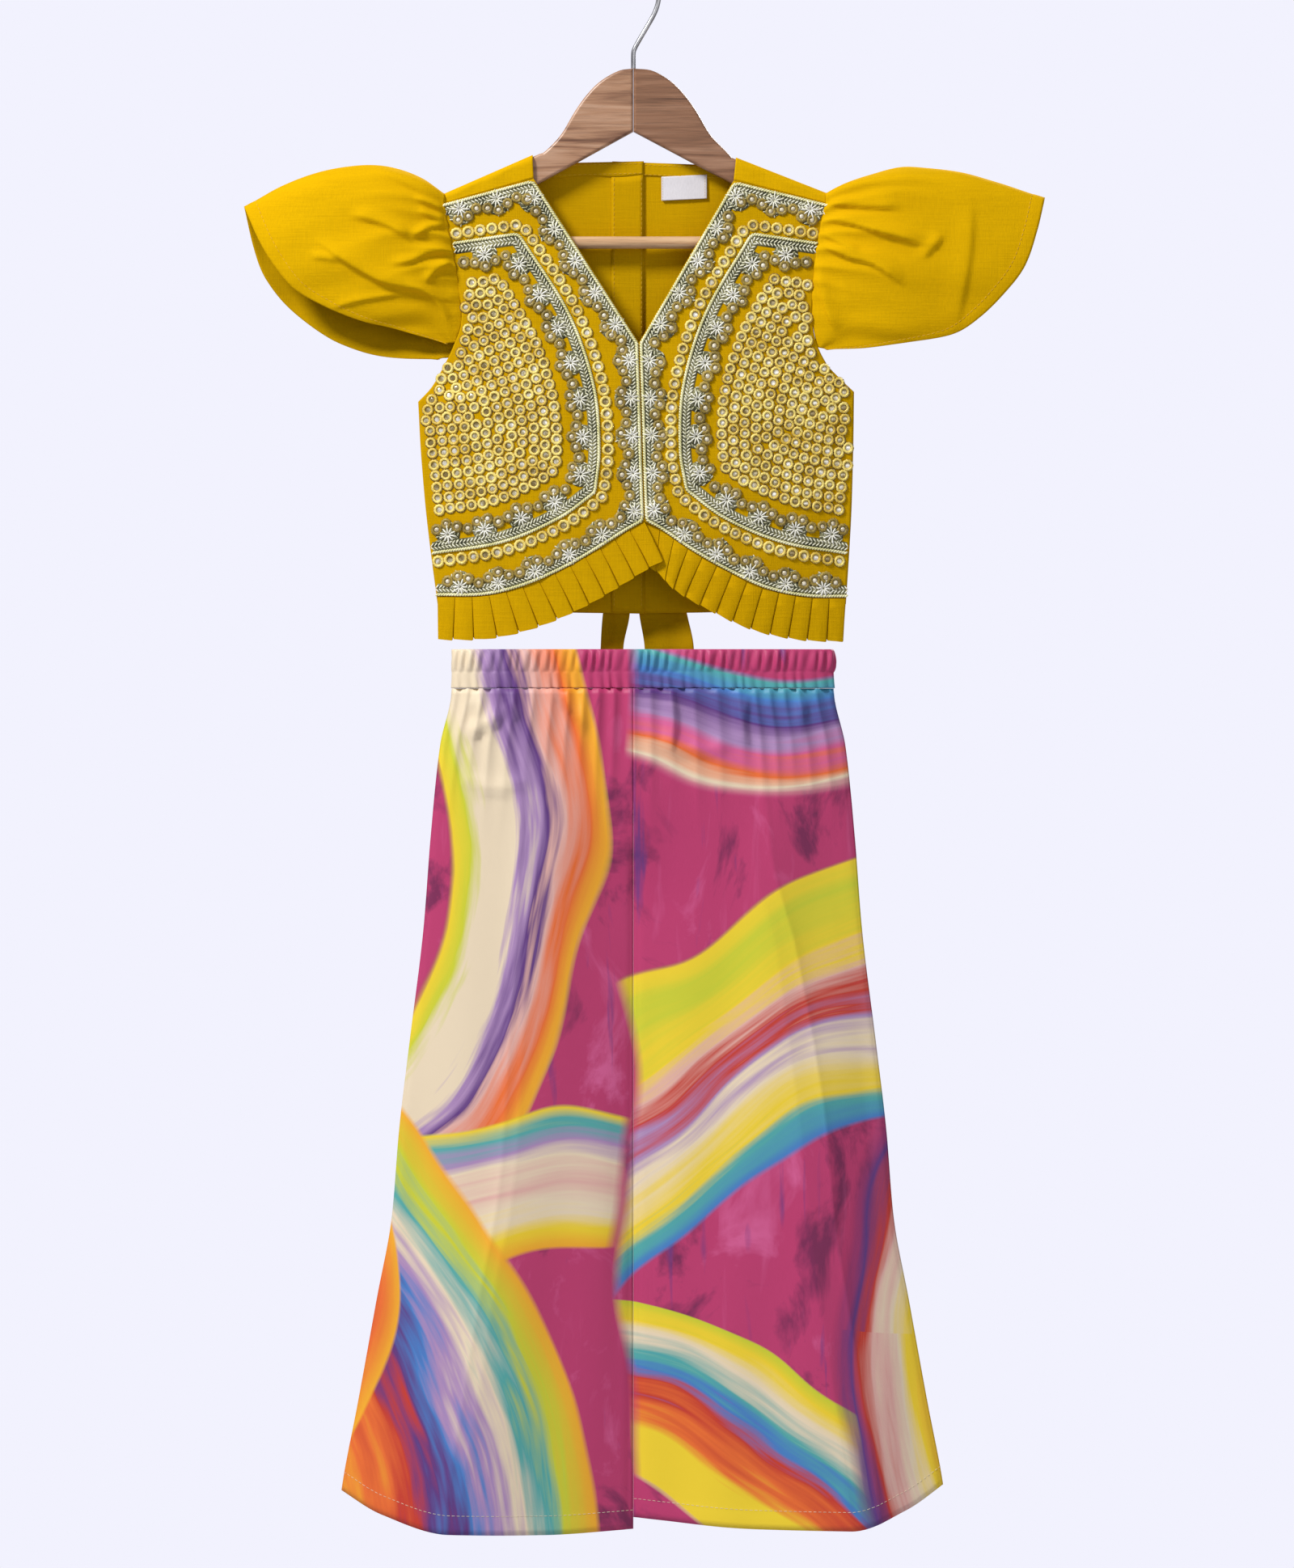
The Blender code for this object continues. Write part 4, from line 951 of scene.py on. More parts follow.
def wood_material(name, dark, middle, pale, grain_turn):
    """Satin-lacquered wood, with the grain along the arm."""
    material, tree, shader = new_material(name, roughness=0.42, coat_weight=0.15, coat_roughness=0.3)
    long_way = scaled(tree, (6.0, 90.0, 90.0), (0.0, grain_turn, 0.0))
    rings = noise(tree, long_way, 1.0, 3.0, 0.55, 1.2)
    fine = noise(tree, scaled(tree, (30.0, 900.0, 900.0), (0.0, grain_turn, 0.0)), 1.0, 3.0, 0.6)
    colour = ramp(tree, rings, (0.30, dark), (0.48, middle), (0.70, pale))
    pores = ramp(tree, fine, (0.34, (0.55, 0.55, 0.55)), (0.5, (1, 1, 1)))
    tree.links.new(mixed(tree, 0.55, colour, pores, "MULTIPLY"), shader.inputs["Base Color"])
    tree.links.new(mapped(tree, fine, 0.0, 1.0, 0.5, 0.34), shader.inputs["Roughness"])
    bumped(tree, shader, fine, 0.00015, 0.4)
    return material


def steel_material():
    material, tree, shader = new_material("hook_steel", metallic=1.0, roughness=0.25)
    scuff = grain(tree, (300.0, 300.0, 60.0), 3.0)
    tree.links.new(ramp(tree, scuff, (0.3, (0.42, 0.42, 0.44)), (0.7, (0.72, 0.72, 0.74))),
                   shader.inputs["Base Color"])
    tree.links.new(mapped(tree, scuff, 0.0, 1.0, 0.18, 0.38), shader.inputs["Roughness"])
    return material


def satin_material(name, colour):
    material, tree, shader = new_material(name, roughness=0.45, sheen_weight=0.1)
    weave = grain(tree, (1500.0, 1500.0, 300.0), 2.0)
    tree.links.new(
        mixed(tree, mapped(tree, weave, 0.3, 0.7), tuple(c * 0.9 for c in colour), colour),
        shader.inputs["Base Color"],
    )
    bumped(tree, shader, weave, 0.0001, 0.4)
    return material


def button_material():
    material, tree, shader = new_material("button_resin", roughness=0.3, coat_weight=0.3)
    swirl = grain(tree, (220.0, 220.0, 220.0), 3.0, 0.5, 1.5)
    tree.links.new(ramp(tree, swirl, (0.3, (0.62, 0.36, 0.03)), (0.7, (0.82, 0.56, 0.10))),
                   shader.inputs["Base Color"])
    return material


Ribbon = namedtuple("Ribbon", "x z inner outer side low high stops")
MAGENTA, DEEP, ROSE = (0.49, 0.03, 0.135), (0.19, 0.008, 0.075), (0.64, 0.10, 0.27)
YELLOW, LIME, AMBER, ORANGE = (0.86, 0.62, 0.015), (0.58, 0.60, 0.02), (0.88, 0.40, 0.01), (0.80, 0.14, 0.015)
RED, CREAM, BLUSH = (0.55, 0.03, 0.01), (0.80, 0.66, 0.46), (0.74, 0.42, 0.36)
LILAC, PURPLE, BLUE, TEAL = (0.40, 0.24, 0.46), (0.10, 0.025, 0.19), (0.05, 0.19, 0.52), (0.07, 0.38, 0.36)
# Sweeping bands of the print. Each is a ring round a point, from its inner to its outer radius, kept between
# two heights (side "z") or two places across (side "x"), with its colours from the inside out, each with its
# place and how well it covers
RIBBONS = [
    Ribbon(-450, -742, 288, 428, "z", -1060, -560, (
        (0.0, DEEP, 0.0), (0.04, YELLOW), (0.13, LIME), (0.2, CREAM), (0.42, CREAM), (0.5, LILAC),
        (0.62, PURPLE), (0.7, BLUSH), (0.84, ORANGE), (0.97, AMBER), (1.0, YELLOW, 0.0),
    )),
    Ribbon(120, -40, 556, 662, "x", -8, 330, (
        (0.0, BLUE, 0.0), (0.06, TEAL), (0.2, BLUE), (0.34, PURPLE), (0.52, LILAC), (0.66, ROSE),
        (0.78, ORANGE), (0.9, CREAM), (1.0, ROSE, 0.0),
    )),
    Ribbon(430, -1480, 552, 752, "x", -8, 330, (
        (0.0, BLUE, 0.0), (0.02, BLUE), (0.10, TEAL), (0.17, YELLOW), (0.33, CREAM), (0.42, LILAC),
        (0.52, RED), (0.6, BLUSH), (0.7, YELLOW), (0.86, LIME), (0.98, YELLOW), (1.0, DEEP, 0.0),
    )),
    Ribbon(-30, -1640, 548, 664, "x", -300, -6, (
        (0.0, AMBER, 0.0), (0.02, AMBER), (0.16, YELLOW), (0.3, CREAM), (0.48, BLUSH), (0.62, CREAM),
        (0.78, LILAC), (0.88, TEAL), (0.97, YELLOW), (1.0, LIME, 0.0),
    )),
    Ribbon(-560, -1350, 286, 520, "x", -300, -6, (
        (0.0, YELLOW, 0.0), (0.02, YELLOW), (0.15, AMBER), (0.26, ORANGE), (0.38, RED), (0.47, PURPLE),
        (0.55, BLUE), (0.62, LILAC), (0.72, CREAM), (0.82, TEAL), (0.88, LIME), (0.98, AMBER),
        (1.0, AMBER, 0.0),
    )),
    Ribbon(-180, -1720, 462, 606, "x", -8, 330, (
        (0.0, CREAM, 0.0), (0.02, YELLOW), (0.3, YELLOW), (0.42, ORANGE), (0.52, RED), (0.6, BLUE),
        (0.68, TEAL), (0.78, CREAM), (0.9, YELLOW), (0.99, LIME), (1.0, LIME, 0.0),
    )),
    Ribbon(640, -1170, 372, 476, "z", -1360, -930, (
        (0.0, AMBER, 0.0), (0.04, AMBER), (0.3, YELLOW), (0.46, CREAM), (0.6, BLUSH), (0.72, RED),
        (0.84, PURPLE), (1.0, DEEP, 0.0),
    )),
    Ribbon(-640, -1100, 388, 438, "z", -1360, -980, (
        (0.0, DEEP, 0.0), (0.15, PURPLE), (0.45, RED), (0.7, ORANGE), (0.95, AMBER), (1.0, AMBER, 0.0),
    )),
]


def print_material():
    """Satin with a free print of sweeping, softly blended ribbons on magenta."""
    material, tree, shader = new_material("ribbon_print", roughness=0.55, sheen_weight=0.08)
    place = node(tree, "TexCoord", output=3)
    drift = noise(tree, place, 5.0, 1.0, output=1)
    drift = node(tree, "VectorMath", {0: drift, 1: (0.5, 0.5, 0.5)}, operation="SUBTRACT")
    bent = node(tree, "VectorMath", {0: drift, 1: (0.07, 0.0, 0.07), 2: place}, operation="MULTIPLY_ADD")
    flat = node(tree, "VectorMath", {0: bent, 1: (1.0, 0.0, 1.0)}, operation="MULTIPLY")
    across = node(tree, "SeparateXYZ", {0: flat}, output=0)
    height = node(tree, "SeparateXYZ", {0: flat}, output=2)
    soft = grain(tree, (13.0, 13.0, 9.0), 5.0, 0.62, 0.9)
    smears = noise(tree, scaled(tree, (55.0, 10.0, 7.0), (0.0, 0.55, 0.0)), 1.0, 3.0, 0.55, 0.5)
    ground = ramp(tree, soft, (0.34, DEEP), (0.46, MAGENTA), (0.58, MAGENTA), (0.72, ROSE))
    ground = mixed(tree, ramp(tree, smears, (0.60, (0, 0, 0)), (0.74, (0.4, 0.4, 0.4))), ground, ROSE)
    colour = mixed(tree, ramp(tree, smears, (0.27, (0.75, 0.75, 0.75)), (0.38, (0, 0, 0))), ground, PURPLE)
    for ribbon in RIBBONS:
        centre = (ribbon.x * MM, 0.0, ribbon.z * MM)
        away = node(tree, "VectorMath", {0: flat, 1: centre}, operation="DISTANCE", output=1)
        arm = node(tree, "VectorMath", {0: flat, 1: centre}, operation="SUBTRACT")
        arm_x = node(tree, "SeparateXYZ", {0: arm}, output=0)
        arm_z = node(tree, "SeparateXYZ", {0: arm}, output=2)
        turn = sums(tree, "ARCTAN2", arm_z, arm_x)
        brush = node(tree, "CombineXYZ",
                     {0: sums(tree, "MULTIPLY", away, 70.0), 1: sums(tree, "MULTIPLY", turn, 2.2),
                      2: ribbon.x})
        brush = noise(tree, brush, 1.0, 3.0, 0.55)
        share = mapped(tree, away, ribbon.inner * MM, ribbon.outer * MM)
        edge = sums(tree, "MULTIPLY", share, sums(tree, "SUBTRACT", 1.0, share))
        pushed = sums(tree, "MULTIPLY", sums(tree, "MULTIPLY", sums(tree, "SUBTRACT", brush, 0.5), 2.0), edge)
        band, cover = ramp(tree, sums(tree, "ADD", share, pushed), *ribbon.stops, output=None)
        runs = height if ribbon.side == "z" else across
        start = mapped(tree, runs, ribbon.low * MM, (ribbon.low + 10) * MM)
        end = mapped(tree, runs, (ribbon.high - 10) * MM, ribbon.high * MM, 1.0, 0.0)
        shown = sums(tree, "MULTIPLY", cover, sums(tree, "MULTIPLY", start, end))
        colour = mixed(tree, shown, colour, band)
    tree.links.new(colour, shader.inputs["Base Color"])
    weave = grain(tree, (1800.0, 1800.0, 500.0), 2.0)
    bumped(tree, shader, weave, 0.00012, 0.5)
    return material


COTTON_COLOUR = (0.745, 0.425, 0.001)
# Painted shade: the sash is the top's cotton darkened for the shade it hangs in
SASH_SHADE_COLOUR = (0.44, 0.25, 0.001)
COTTON = cotton_material("slub_cotton", COTTON_COLOUR, 0.86)
# Painted shade: the inner faces are the same cotton, darkened to stand in for the shade inside the garment
SHADED_INSIDE = cotton_material("cotton_inside_painted_shade", tuple(c * 0.80 for c in COTTON_COLOUR), 0.86)
# Painted shade: darker cotton for the shade among the needlework of the fronts and the shade on the frills
SHADED_COTTON = cotton_material("cotton_painted_shade", tuple(c * 0.84 for c in COTTON_COLOUR), 0.82)
SASH = cotton_material("sash_cotton_painted_shade", SASH_SHADE_COLOUR, 0.86)
BRAID_THREAD = thread_material("pale_thread", (0.74, 0.72, 0.50), (0.98, 0.96, 0.80))
CORD_THREAD = thread_material("cord_thread", (0.66, 0.62, 0.26), (0.96, 0.92, 0.58))
STAR_THREAD = thread_material("star_thread", (0.84, 0.82, 0.66), (0.97, 0.95, 0.86))
SPECKLE_THREAD = thread_material("speckle_thread", (0.36, 0.35, 0.18), (0.80, 0.78, 0.58))
# Partly the stitched base under each mirror ring, partly painted shade for the shadow round the ring
UNDER_THREAD_AND_SHADE = thread_material("under_thread_and_painted_shade", (0.26, 0.14, 0.006), (0.46, 0.27, 0.012), roughness=0.8)
BRAID_GROUND = thread_material("braid_ground", (0.045, 0.05, 0.02), (0.30, 0.28, 0.13), roughness=0.8)
RING_THREAD = thread_material("yellow_thread", (0.66, 0.44, 0.04), (0.95, 0.78, 0.22))
OLIVE_THREAD = thread_material("olive_thread", (0.20, 0.135, 0.012), (0.42, 0.30, 0.055))
SEWING_THREAD = thread_material("sewing_thread", (0.66, 0.36, 0.01), (0.78, 0.48, 0.02), roughness=0.6)
PALE_SEWING = thread_material("pale_sewing_thread", (0.72, 0.62, 0.42), (0.86, 0.78, 0.58), roughness=0.6)
MIRROR = mirror_material()
PEARL = pearl_material()
LABEL_SATIN = satin_material("label_satin", (0.74, 0.71, 0.73))
PRINT = print_material()
PALE_WOOD = wood_material("pale_arm_wood", (0.17, 0.07, 0.035), (0.42, 0.22, 0.12), (0.56, 0.34, 0.22), -0.62)
DARK_WOOD = wood_material("dark_arm_wood", (0.12, 0.05, 0.024), (0.26, 0.12, 0.06), (0.38, 0.20, 0.115), 0.62)
BAR_WOOD = wood_material("bar_wood", (0.50, 0.27, 0.13), (0.64, 0.40, 0.21), (0.74, 0.52, 0.32), 0.0)
STEEL = steel_material()
BUTTON = button_material()


# Cloth pieces


def make_fronts():
    u, v = grid(80, 100)
    for side, name in SIDE_NAME.items():
        points = front_place(side)(u, v)
        # The fronts take the darker cotton, painted shade among their needlework
        piece = cloth("front_" + name, [(points, TO_FRONT)], SHADED_COTTON, "cotton", ["top_front_" + name],
                      inside=SHADED_INSIDE)
        surface_area(points)


def facing_strip(side, low_x, high_x, top, bottom, columns, rows):
    """A second layer of cloth inside the back, between two places across and two heights."""
    u, v = grid(columns, rows)
    x = low_x + (high_x - low_x) * u
    z = top(x) + (bottom(x) - top(x)) * v
    return np.stack((x, back_depth(side, x, z) - THIN - 0.1, z), axis=-1)


NECK_BAND = 12.0
FACING_WIDTH = 27.0


def back_neck_height(side, x):
    """The back's neck edge, from its shoulder seam to the placket."""
    neck_x, neck_z = NECK_POINT[side]
    lap_x = LAP_X[side]
    share = (x - neck_x) / (lap_x - neck_x)
    start = neck_z - BACK_SEAM_DROP - GAP
    return start + (BACK_NECK_HEIGHT - start) * share


def make_backs():
    u, v = grid(64, 84)
    for side, name in SIDE_NAME.items():
        points = back_place(side)(u, v)
        inset = 0.8
        edge = LAP_X[side] + side * inset

        def top(x, side=side):
            return back_neck_height(side, x) - inset

        def band_bottom(x, side=side):
            return back_neck_height(side, x) - NECK_BAND + 0.9 * np.sin(x / 9.0)

        def hem(x):
            return BACK_HEM_HEIGHT["middle"] + 1.5 + 0.0 * x

        band_x = sorted((edge, NECK_POINT[side][0] - side * 5))
        band = facing_strip(side, *band_x, top, band_bottom, 60, 6)
        placket_x = sorted((edge, edge + side * FACING_WIDTH))
        placket = facing_strip(side, *placket_x, lambda x, f=band_bottom: f(x) - 0.2, hem, 8, 60)
        layers = [(points, TO_BACK), (band, TO_BACK), (placket, TO_BACK)]
        piece = cloth("back_" + name, layers, COTTON, "cotton", ["top_back_" + name], inside=SHADED_INSIDE)
        area = sum(surface_area(layer) for layer, _ in layers)


def make_yokes():
    u = np.linspace(0.0, 1.0, 61)
    for side, name in SIDE_NAME.items():
        ridge = along((NECK_POINT[side], SHOULDER_TIP[side]), u)
        seam = along((YOKE_SEAM[side]["neck"], YOKE_SEAM[side]["tip"]), u)
        drop = ridge[:, 1] - seam[:, 1] - GAP / 2
        rows = []
        turns = np.radians(np.linspace(90, 0, 7))
        flat = SHOULDER_DEPTH - SHOULDER_BEND
        bend = [(flat + SHOULDER_BEND * math.sin(a), SHOULDER_BEND * (1 - math.cos(a))) for a in turns]
        front = [(-SHOULDER_DEPTH, SHOULDER_BEND + (drop - SHOULDER_BEND) * k / 6) for k in range(6, 0, -1)]
        front += [(-depth, fall) for depth, fall in bend]
        back = [(depth, fall) for depth, fall in reversed(bend)] + [(SHOULDER_DEPTH, BACK_SEAM_DROP)]
        for depth, fall in front + back:
            toward = fall / drop if depth < 0 else 0.0 * drop
            x = ridge[:, 0] + (seam[:, 0] - ridge[:, 0]) * toward
            if abs(depth) == SHOULDER_DEPTH:
                depth = depth + waves(x, ridge[:, 1], (0.25, 31.0, 500.0, 0.4))
            rows.append(np.stack((x, depth + 0.0 * x, ridge[:, 1] - fall), axis=-1))
        points = np.array(rows)
        piece = cloth("yoke_cloth_" + name, [(points, UP)], COTTON, "cotton", ["yoke_" + name])
        surface_area(points)


SLEEVE_GRID = (190, 84)


def sleeve_points(side):
    """The sleeve's outer face and its normals."""
    u, v = grid(*SLEEVE_GRID)
    base = sleeve_place(side)(u, v)
    normals, _ = outward(base, np.array(UP))
    relief = sleeve_relief(side, u, v, base[..., 0], base[..., 2])
    return base + normals * relief[..., None], normals


def make_sleeves():
    for side, name in SIDE_NAME.items():
        points, _ = sleeve_points(side)
        piece = cloth("sleeve_cloth_" + name, [(points, UP)], COTTON, "cotton", ["sleeve_" + name],
                      inside=SHADED_INSIDE)
        GATHERED_CUT * surface_area(points)


PLEAT_FOLDS = ((0.0, 0.0), (0.05, 1.1), (0.5, 1.5), (0.93, 1.9), (0.99, 1.5), (1.0, 0.9), (0.985, 0.3),
               (0.90, 0.1))


def make_frills():
    """Knife pleats whose folded edge points to the viewer's right."""
    v_line = np.linspace(0.0, 1.0, 15)
    for side, name in SIDE_NAME.items():
        place = frill_place(side)
        us, outs = [], []
        order = range(FRILL_PLEATS) if side == LEFT else range(FRILL_PLEATS - 1, -1, -1)
        for pleat in order:
            wobble = 0.06 * math.sin(2.3 * pleat + side)
            for share, out in PLEAT_FOLDS:
                share = min(1.0, share * (1.0 + wobble)) if share < 0.9 else share
                shown = share if side == LEFT else 1.0 - share
                us.append((pleat + shown) / FRILL_PLEATS)
                outs.append(out)
        us.append(1.0 if side == LEFT else 0.0)
        outs.append(0.0)
        u, v = np.meshgrid(us, v_line)
        out = np.array(outs)[None, :] * (0.55 + 0.95 * v)
        slant = 0.012 * v * np.sin(7.0 * u + side)
        points = place(np.clip(u + slant, 0.0, 1.0), v, out)
        points[..., 2] -= 1.5 * np.array(outs)[None, :] * v**3
        # The frills take the darker cotton, painted shade
        piece = cloth("frill_cloth_" + name, [(points, TO_FRONT)], SHADED_COTTON, "cotton", ["frill_" + name],
                      sharp=50.0)
        GATHERED_CUT * surface_area(points)


def waist_outline(columns):
    """Points equally far apart round the waist, as x and y, with the way out at each."""
    fine = np.linspace(0.0, 2 * np.pi, 8001)
    cosine, sine = np.cos(fine), np.sin(fine)
    x = WAIST_HALF * np.sign(cosine) * np.abs(cosine) ** (2 / WAIST_SQUARENESS)
    y = WAIST_DEPTH * sine
    length = np.concatenate(([0.0], np.cumsum(np.hypot(np.diff(x), np.diff(y)))))
    share = np.arange(columns) / columns * length[-1]
    x, y = np.interp(share, length, x), np.interp(share, length, y)
    run_x, run_y = np.roll(x, -1) - np.roll(x, 1), np.roll(y, -1) - np.roll(y, 1)
    size = np.hypot(run_x, run_y)
    return np.stack((x, y, run_y / size, -run_x / size), axis=-1)


def make_waistband():
    """Two rows of small slanting puckers over the elastic, with a line between them where they meet."""
    columns = 640
    x, y, out_x, out_y = waist_outline(columns).T
    turn = np.arange(columns) / columns
    heights = np.linspace(WAIST_TOP, WAIST_BOTTOM, 29)
    above = (heights > WAIST_SEAM).astype(float)
    rows = []
    for z, upper in zip(heights, above):
        ends = (WAIST_TOP, WAIST_SEAM) if upper else (WAIST_SEAM, WAIST_BOTTOM)
        down = (ends[0] - z) / (ends[0] - ends[1])
        swell = math.sin(math.pi * min(1.0, down)) ** 0.6 if upper else 0.35 + 0.65 * down
        count = 84 if upper else 76
        wander = 0.0016 * np.sin(2 * np.pi * 17 * turn + upper) + 0.0009 * np.sin(2 * np.pi * 41 * turn)
        slant = (0.0035 if upper else -0.002) * down
        pucker = np.abs(np.sin(np.pi * count * (turn + wander + slant))) ** 1.4
        uneven = 0.75 + 0.25 * np.sin(2 * np.pi * 13 * turn + 2.0 * upper)
        out = (3.2 if upper else 2.4) * pucker * swell * uneven
        rows.append(np.stack((x + PALAZZO_SHIFT + out_x * out, y + out_y * out, z + 0.0 * x), axis=-1))
    outer = np.array(rows)
    inner = np.stack((x + PALAZZO_SHIFT - out_x, y - out_y, 0.0 * x), axis=-1)
    inner = np.array([inner + (0.0, 0.0, z) for z in (WAIST_BOTTOM, WAIST_SEAM, WAIST_TOP)])
    points = np.concatenate((outer, inner))
    mesh = new_mesh("waistband_cloth", points.reshape(-1, 3), [closed_faces(len(points), columns)])
    piece = finished(bpy.data.objects.new("waistband_cloth", mesh), PRINT, "print", ["palazzo_waistband"])


def make_legs():
    grids = {FRONT: grid(100, 132), BACK: grid(56, 76)}
    for side in (LEFT, RIGHT):
        for layer, word in ((FRONT, "front"), (BACK, "back")):
            u, v = grids[layer]
            end = "%s_%s" % (word, SIDE_NAME[side])
            points = leg_place(side, layer)(u, v)
            piece = cloth("leg_" + end, [(points, (0, layer, 0))], PRINT, "print", ["palazzo_" + end])
            surface_area(points)


def arm_outline(side):
    """The outline of one wooden arm, from the mitre over the shoulder to the lobe and back below."""
    neck, tip = NECK_POINT[side], SHOULDER_TIP[side]
    run = math.hypot(tip[0] - neck[0], tip[1] - neck[1])
    drop = (CLOTH + GAP) * run / abs(tip[0] - neck[0])

    def shoulder(x):
        return (x, neck[1] + (x - neck[0]) / (tip[0] - neck[0]) * (tip[1] - neck[1]) - drop)

    mitre = MITRE + side * GAP / 2
    crown = [(MITRE, HANGER_CROWN)] + [(side * row.x, row.z) for row in HANGER_TOP] + [shoulder(side * 82.0)]
    crown = [tuple(point) for point in along(crown, np.linspace(0, 1, 40))]
    crown[0] = (mitre, HANGER_CROWN)
    outline = crown + [shoulder(side * x) for x in (95.0, 120.0, 146.0)]
    end = shoulder(side * 146.0)[1]
    outline += [(side * (LOBE_OUTER - 2.0), end - 4.0), (side * LOBE_OUTER, end - 10.0)]
    outline += [(side * LOBE_OUTER, LOBE_BOTTOM + 6.0), (side * (LOBE_OUTER - 1.2), LOBE_BOTTOM + 1.8)]
    outline += [(side * (LOBE_OUTER - 5.0), LOBE_BOTTOM), (side * (LOBE_INNER + 5.0), LOBE_BOTTOM)]
    outline += [(side * (LOBE_INNER + 1.2), LOBE_BOTTOM + 1.8), (side * LOBE_INNER, LOBE_BOTTOM + 6.0)]
    outline += [(side * row.x, row.z) for row in HANGER_UNDERSIDE]
    outline += [(mitre, HANGER_APEX)]
    return outline


def curve_piece(name, points, material, slot, nodes, radius, cyclic=False, flat=False, extrude=0.0, turns=4):
    curve = bpy.data.curves.new(name, "CURVE")
    curve.dimensions = "2D" if flat else "3D"
    spline = curve.splines.new("POLY")
    spline.points.add(len(points) - 1)
    for target, point in zip(spline.points, points):
        target.co = (*(value * MM for value in point), 1.0)
    spline.use_cyclic_u = cyclic
    spline.use_smooth = not flat
    curve.bevel_depth = radius * MM
    curve.bevel_resolution = turns
    curve.use_fill_caps = not cyclic
    if flat:
        curve.fill_mode = "BOTH"
        curve.extrude = extrude * MM
        curve.offset = -radius * MM
    return finished(bpy.data.objects.new(name, curve), material, slot, nodes)


def make_hanger():
    for side, material, slot in ((LEFT, PALE_WOOD, "pale_wood"), (RIGHT, DARK_WOOD, "dark_wood")):
        name = SIDE_NAME[side]
        outline = [(x, z, 0.0) for x, z in arm_outline(side)]
        arm = curve_piece("hanger_wood_" + name, outline, material, slot, ["hanger_arm_" + name],
                          WOOD_ROUNDING,
                          cyclic=True, flat=True, extrude=WOOD / 2 - WOOD_ROUNDING)
        arm.rotation_euler = (math.radians(90), 0, 0)
    length = 2 * (LOBE_INNER - GAP)
    bar = [(-length / 2 + length * k / 24, 0.0, BAR_HEIGHT) for k in range(25)]
    curve_piece("bar_dowel", bar, BAR_WOOD, "bar_wood", ["hanger_bar"], BAR_DIAMETER / 2, turns=8)
    centre_z = HOOK_WIRE / 2 - HOOK_BEND
    route = [(MITRE, 0, HANGER_CROWN + GAP), (MITRE, 0, -74.0), (MITRE + 0.4, 0, -69.0), (1.5, 0, -62.5)]
    route += [(14.5, 0, -40.0), (17.6, 0, -33.0), (19.4, 0, -26.0)]
    for angle in range(0, int(HOOK_TIP_ANGLE) + 1, 12):
        turn = math.radians(angle)
        route.append((HOOK_BEND * math.cos(turn), 0, centre_z + HOOK_BEND * math.sin(turn)))
    wire = [tuple(point) for point in along(route, np.linspace(0.0, 1.0, 90))]
    curve_piece("hook_wire", wire, STEEL, "steel", ["hanger_hook"], HOOK_WIRE / 2, turns=6)


def make_sash():
    """Bands across the back, their knot with its wraps, and the two tails."""
    u, v = grid(70, 16)
    for side, name in SIDE_NAME.items():
        reach = SASH_BAND[0].x + (SASH_END - SASH_BAND[0].x) * u
        x = side * reach + KNOT["x"] * u
        top = level(SASH_BAND, reach, "top", by="x")
        z = top + (level(SASH_BAND, reach, "bottom", by="x") - top) * v
        lap = PLACKET_STEP * smooth(x, -72.0, -26.0) * (1.0 - smooth(x, *PLACKET_EASE))
        pleats = np.abs(np.sin(np.pi * (3.5 * v + 0.15 * np.sin(6 * u))))
        folds = 0.9 * u * pleats + 0.35 * np.sin(9 * u + 5 * v)
        y = top_depth(BACK_FORM, side, x, z) + lap + LIFT + CLOTH + folds
        points = np.stack((x, y, z), axis=-1)
        piece = cloth("sash_cloth_" + name, [(points, TO_BACK)], SASH, "sash_cotton", ["sash_" + name])
        surface_area(points) * NARROW_CUT
    u, v = grid(26, 90)
    for side, name in SIDE_NAME.items():
        rows = SASH_TAIL[side]
        z = rows[0].z + (rows[-1].z - rows[0].z) * v
        x = level(rows, z, "x") + (u - 0.5) * level(rows, z, "width")
        bunch = 1.0 - smooth(v, 0.05, 0.45)
        ripple = (0.5 + 1.1 * bunch) * np.sin(2 * np.pi * (1.6 * u + 0.2 * side))
        y = level(rows, z, "y") + ripple * smooth(-z, 460.0, 480.0)
        y = y - 0.6 - 1.2 * smooth(-z, 560.0, 580.0)
        points = np.stack((x, y, z), axis=-1)
        piece = cloth("tail_cloth_" + name, [(points, TO_BACK)], SASH, "sash_cotton", ["sash_tail_" + name])
        surface_area(points) * NARROW_CUT
    turns, rings = 36, 48
    theta, phi = np.meshgrid(np.arange(turns) / turns * 2 * np.pi, np.arange(rings) / rings * 2 * np.pi)
    parts = []
    for tilt, turn, size, wide, thick in ((0.12, 0.0, (0.0, 3.4, 7.2), 4.6, 1.5),
                                          (-0.2, 0.25, (9.0, 2.6, 0.0), 4.4, 1.7)):
        round_way = np.stack((size[0] * np.cos(phi), size[1] * np.sin(phi), size[2] * np.cos(phi)), axis=-1)
        across = np.array(UP if size[0] else (1.0, 0.0, 0.0))
        out = unit(round_way)
        folds = 1.0 + 0.22 * np.sin(5 * theta + turn) * np.abs(np.cos(theta))
        thickness = (thick * folds * np.sin(theta))[..., None]
        ring = round_way + out * thickness + across * (wide * np.cos(theta))[..., None]
        x = ring[..., 0] * math.cos(tilt) - ring[..., 2] * math.sin(tilt) + KNOT["x"]
        z = ring[..., 0] * math.sin(tilt) + ring[..., 2] * math.cos(tilt) + KNOT["z"]
        points = np.stack((x, ring[..., 1] + KNOT["y"], z), axis=-1)
        parts.append((points.reshape(-1, 3), closed_faces(rings, turns)[:, [0, 3, 2, 1]]))
    verts, faces = merged(parts)
    mesh = new_mesh("knot_cloth", verts, [faces])
    finished(bpy.data.objects.new("knot_cloth", mesh), SASH, "sash_cotton", ["sash_knot"])


# Needlework


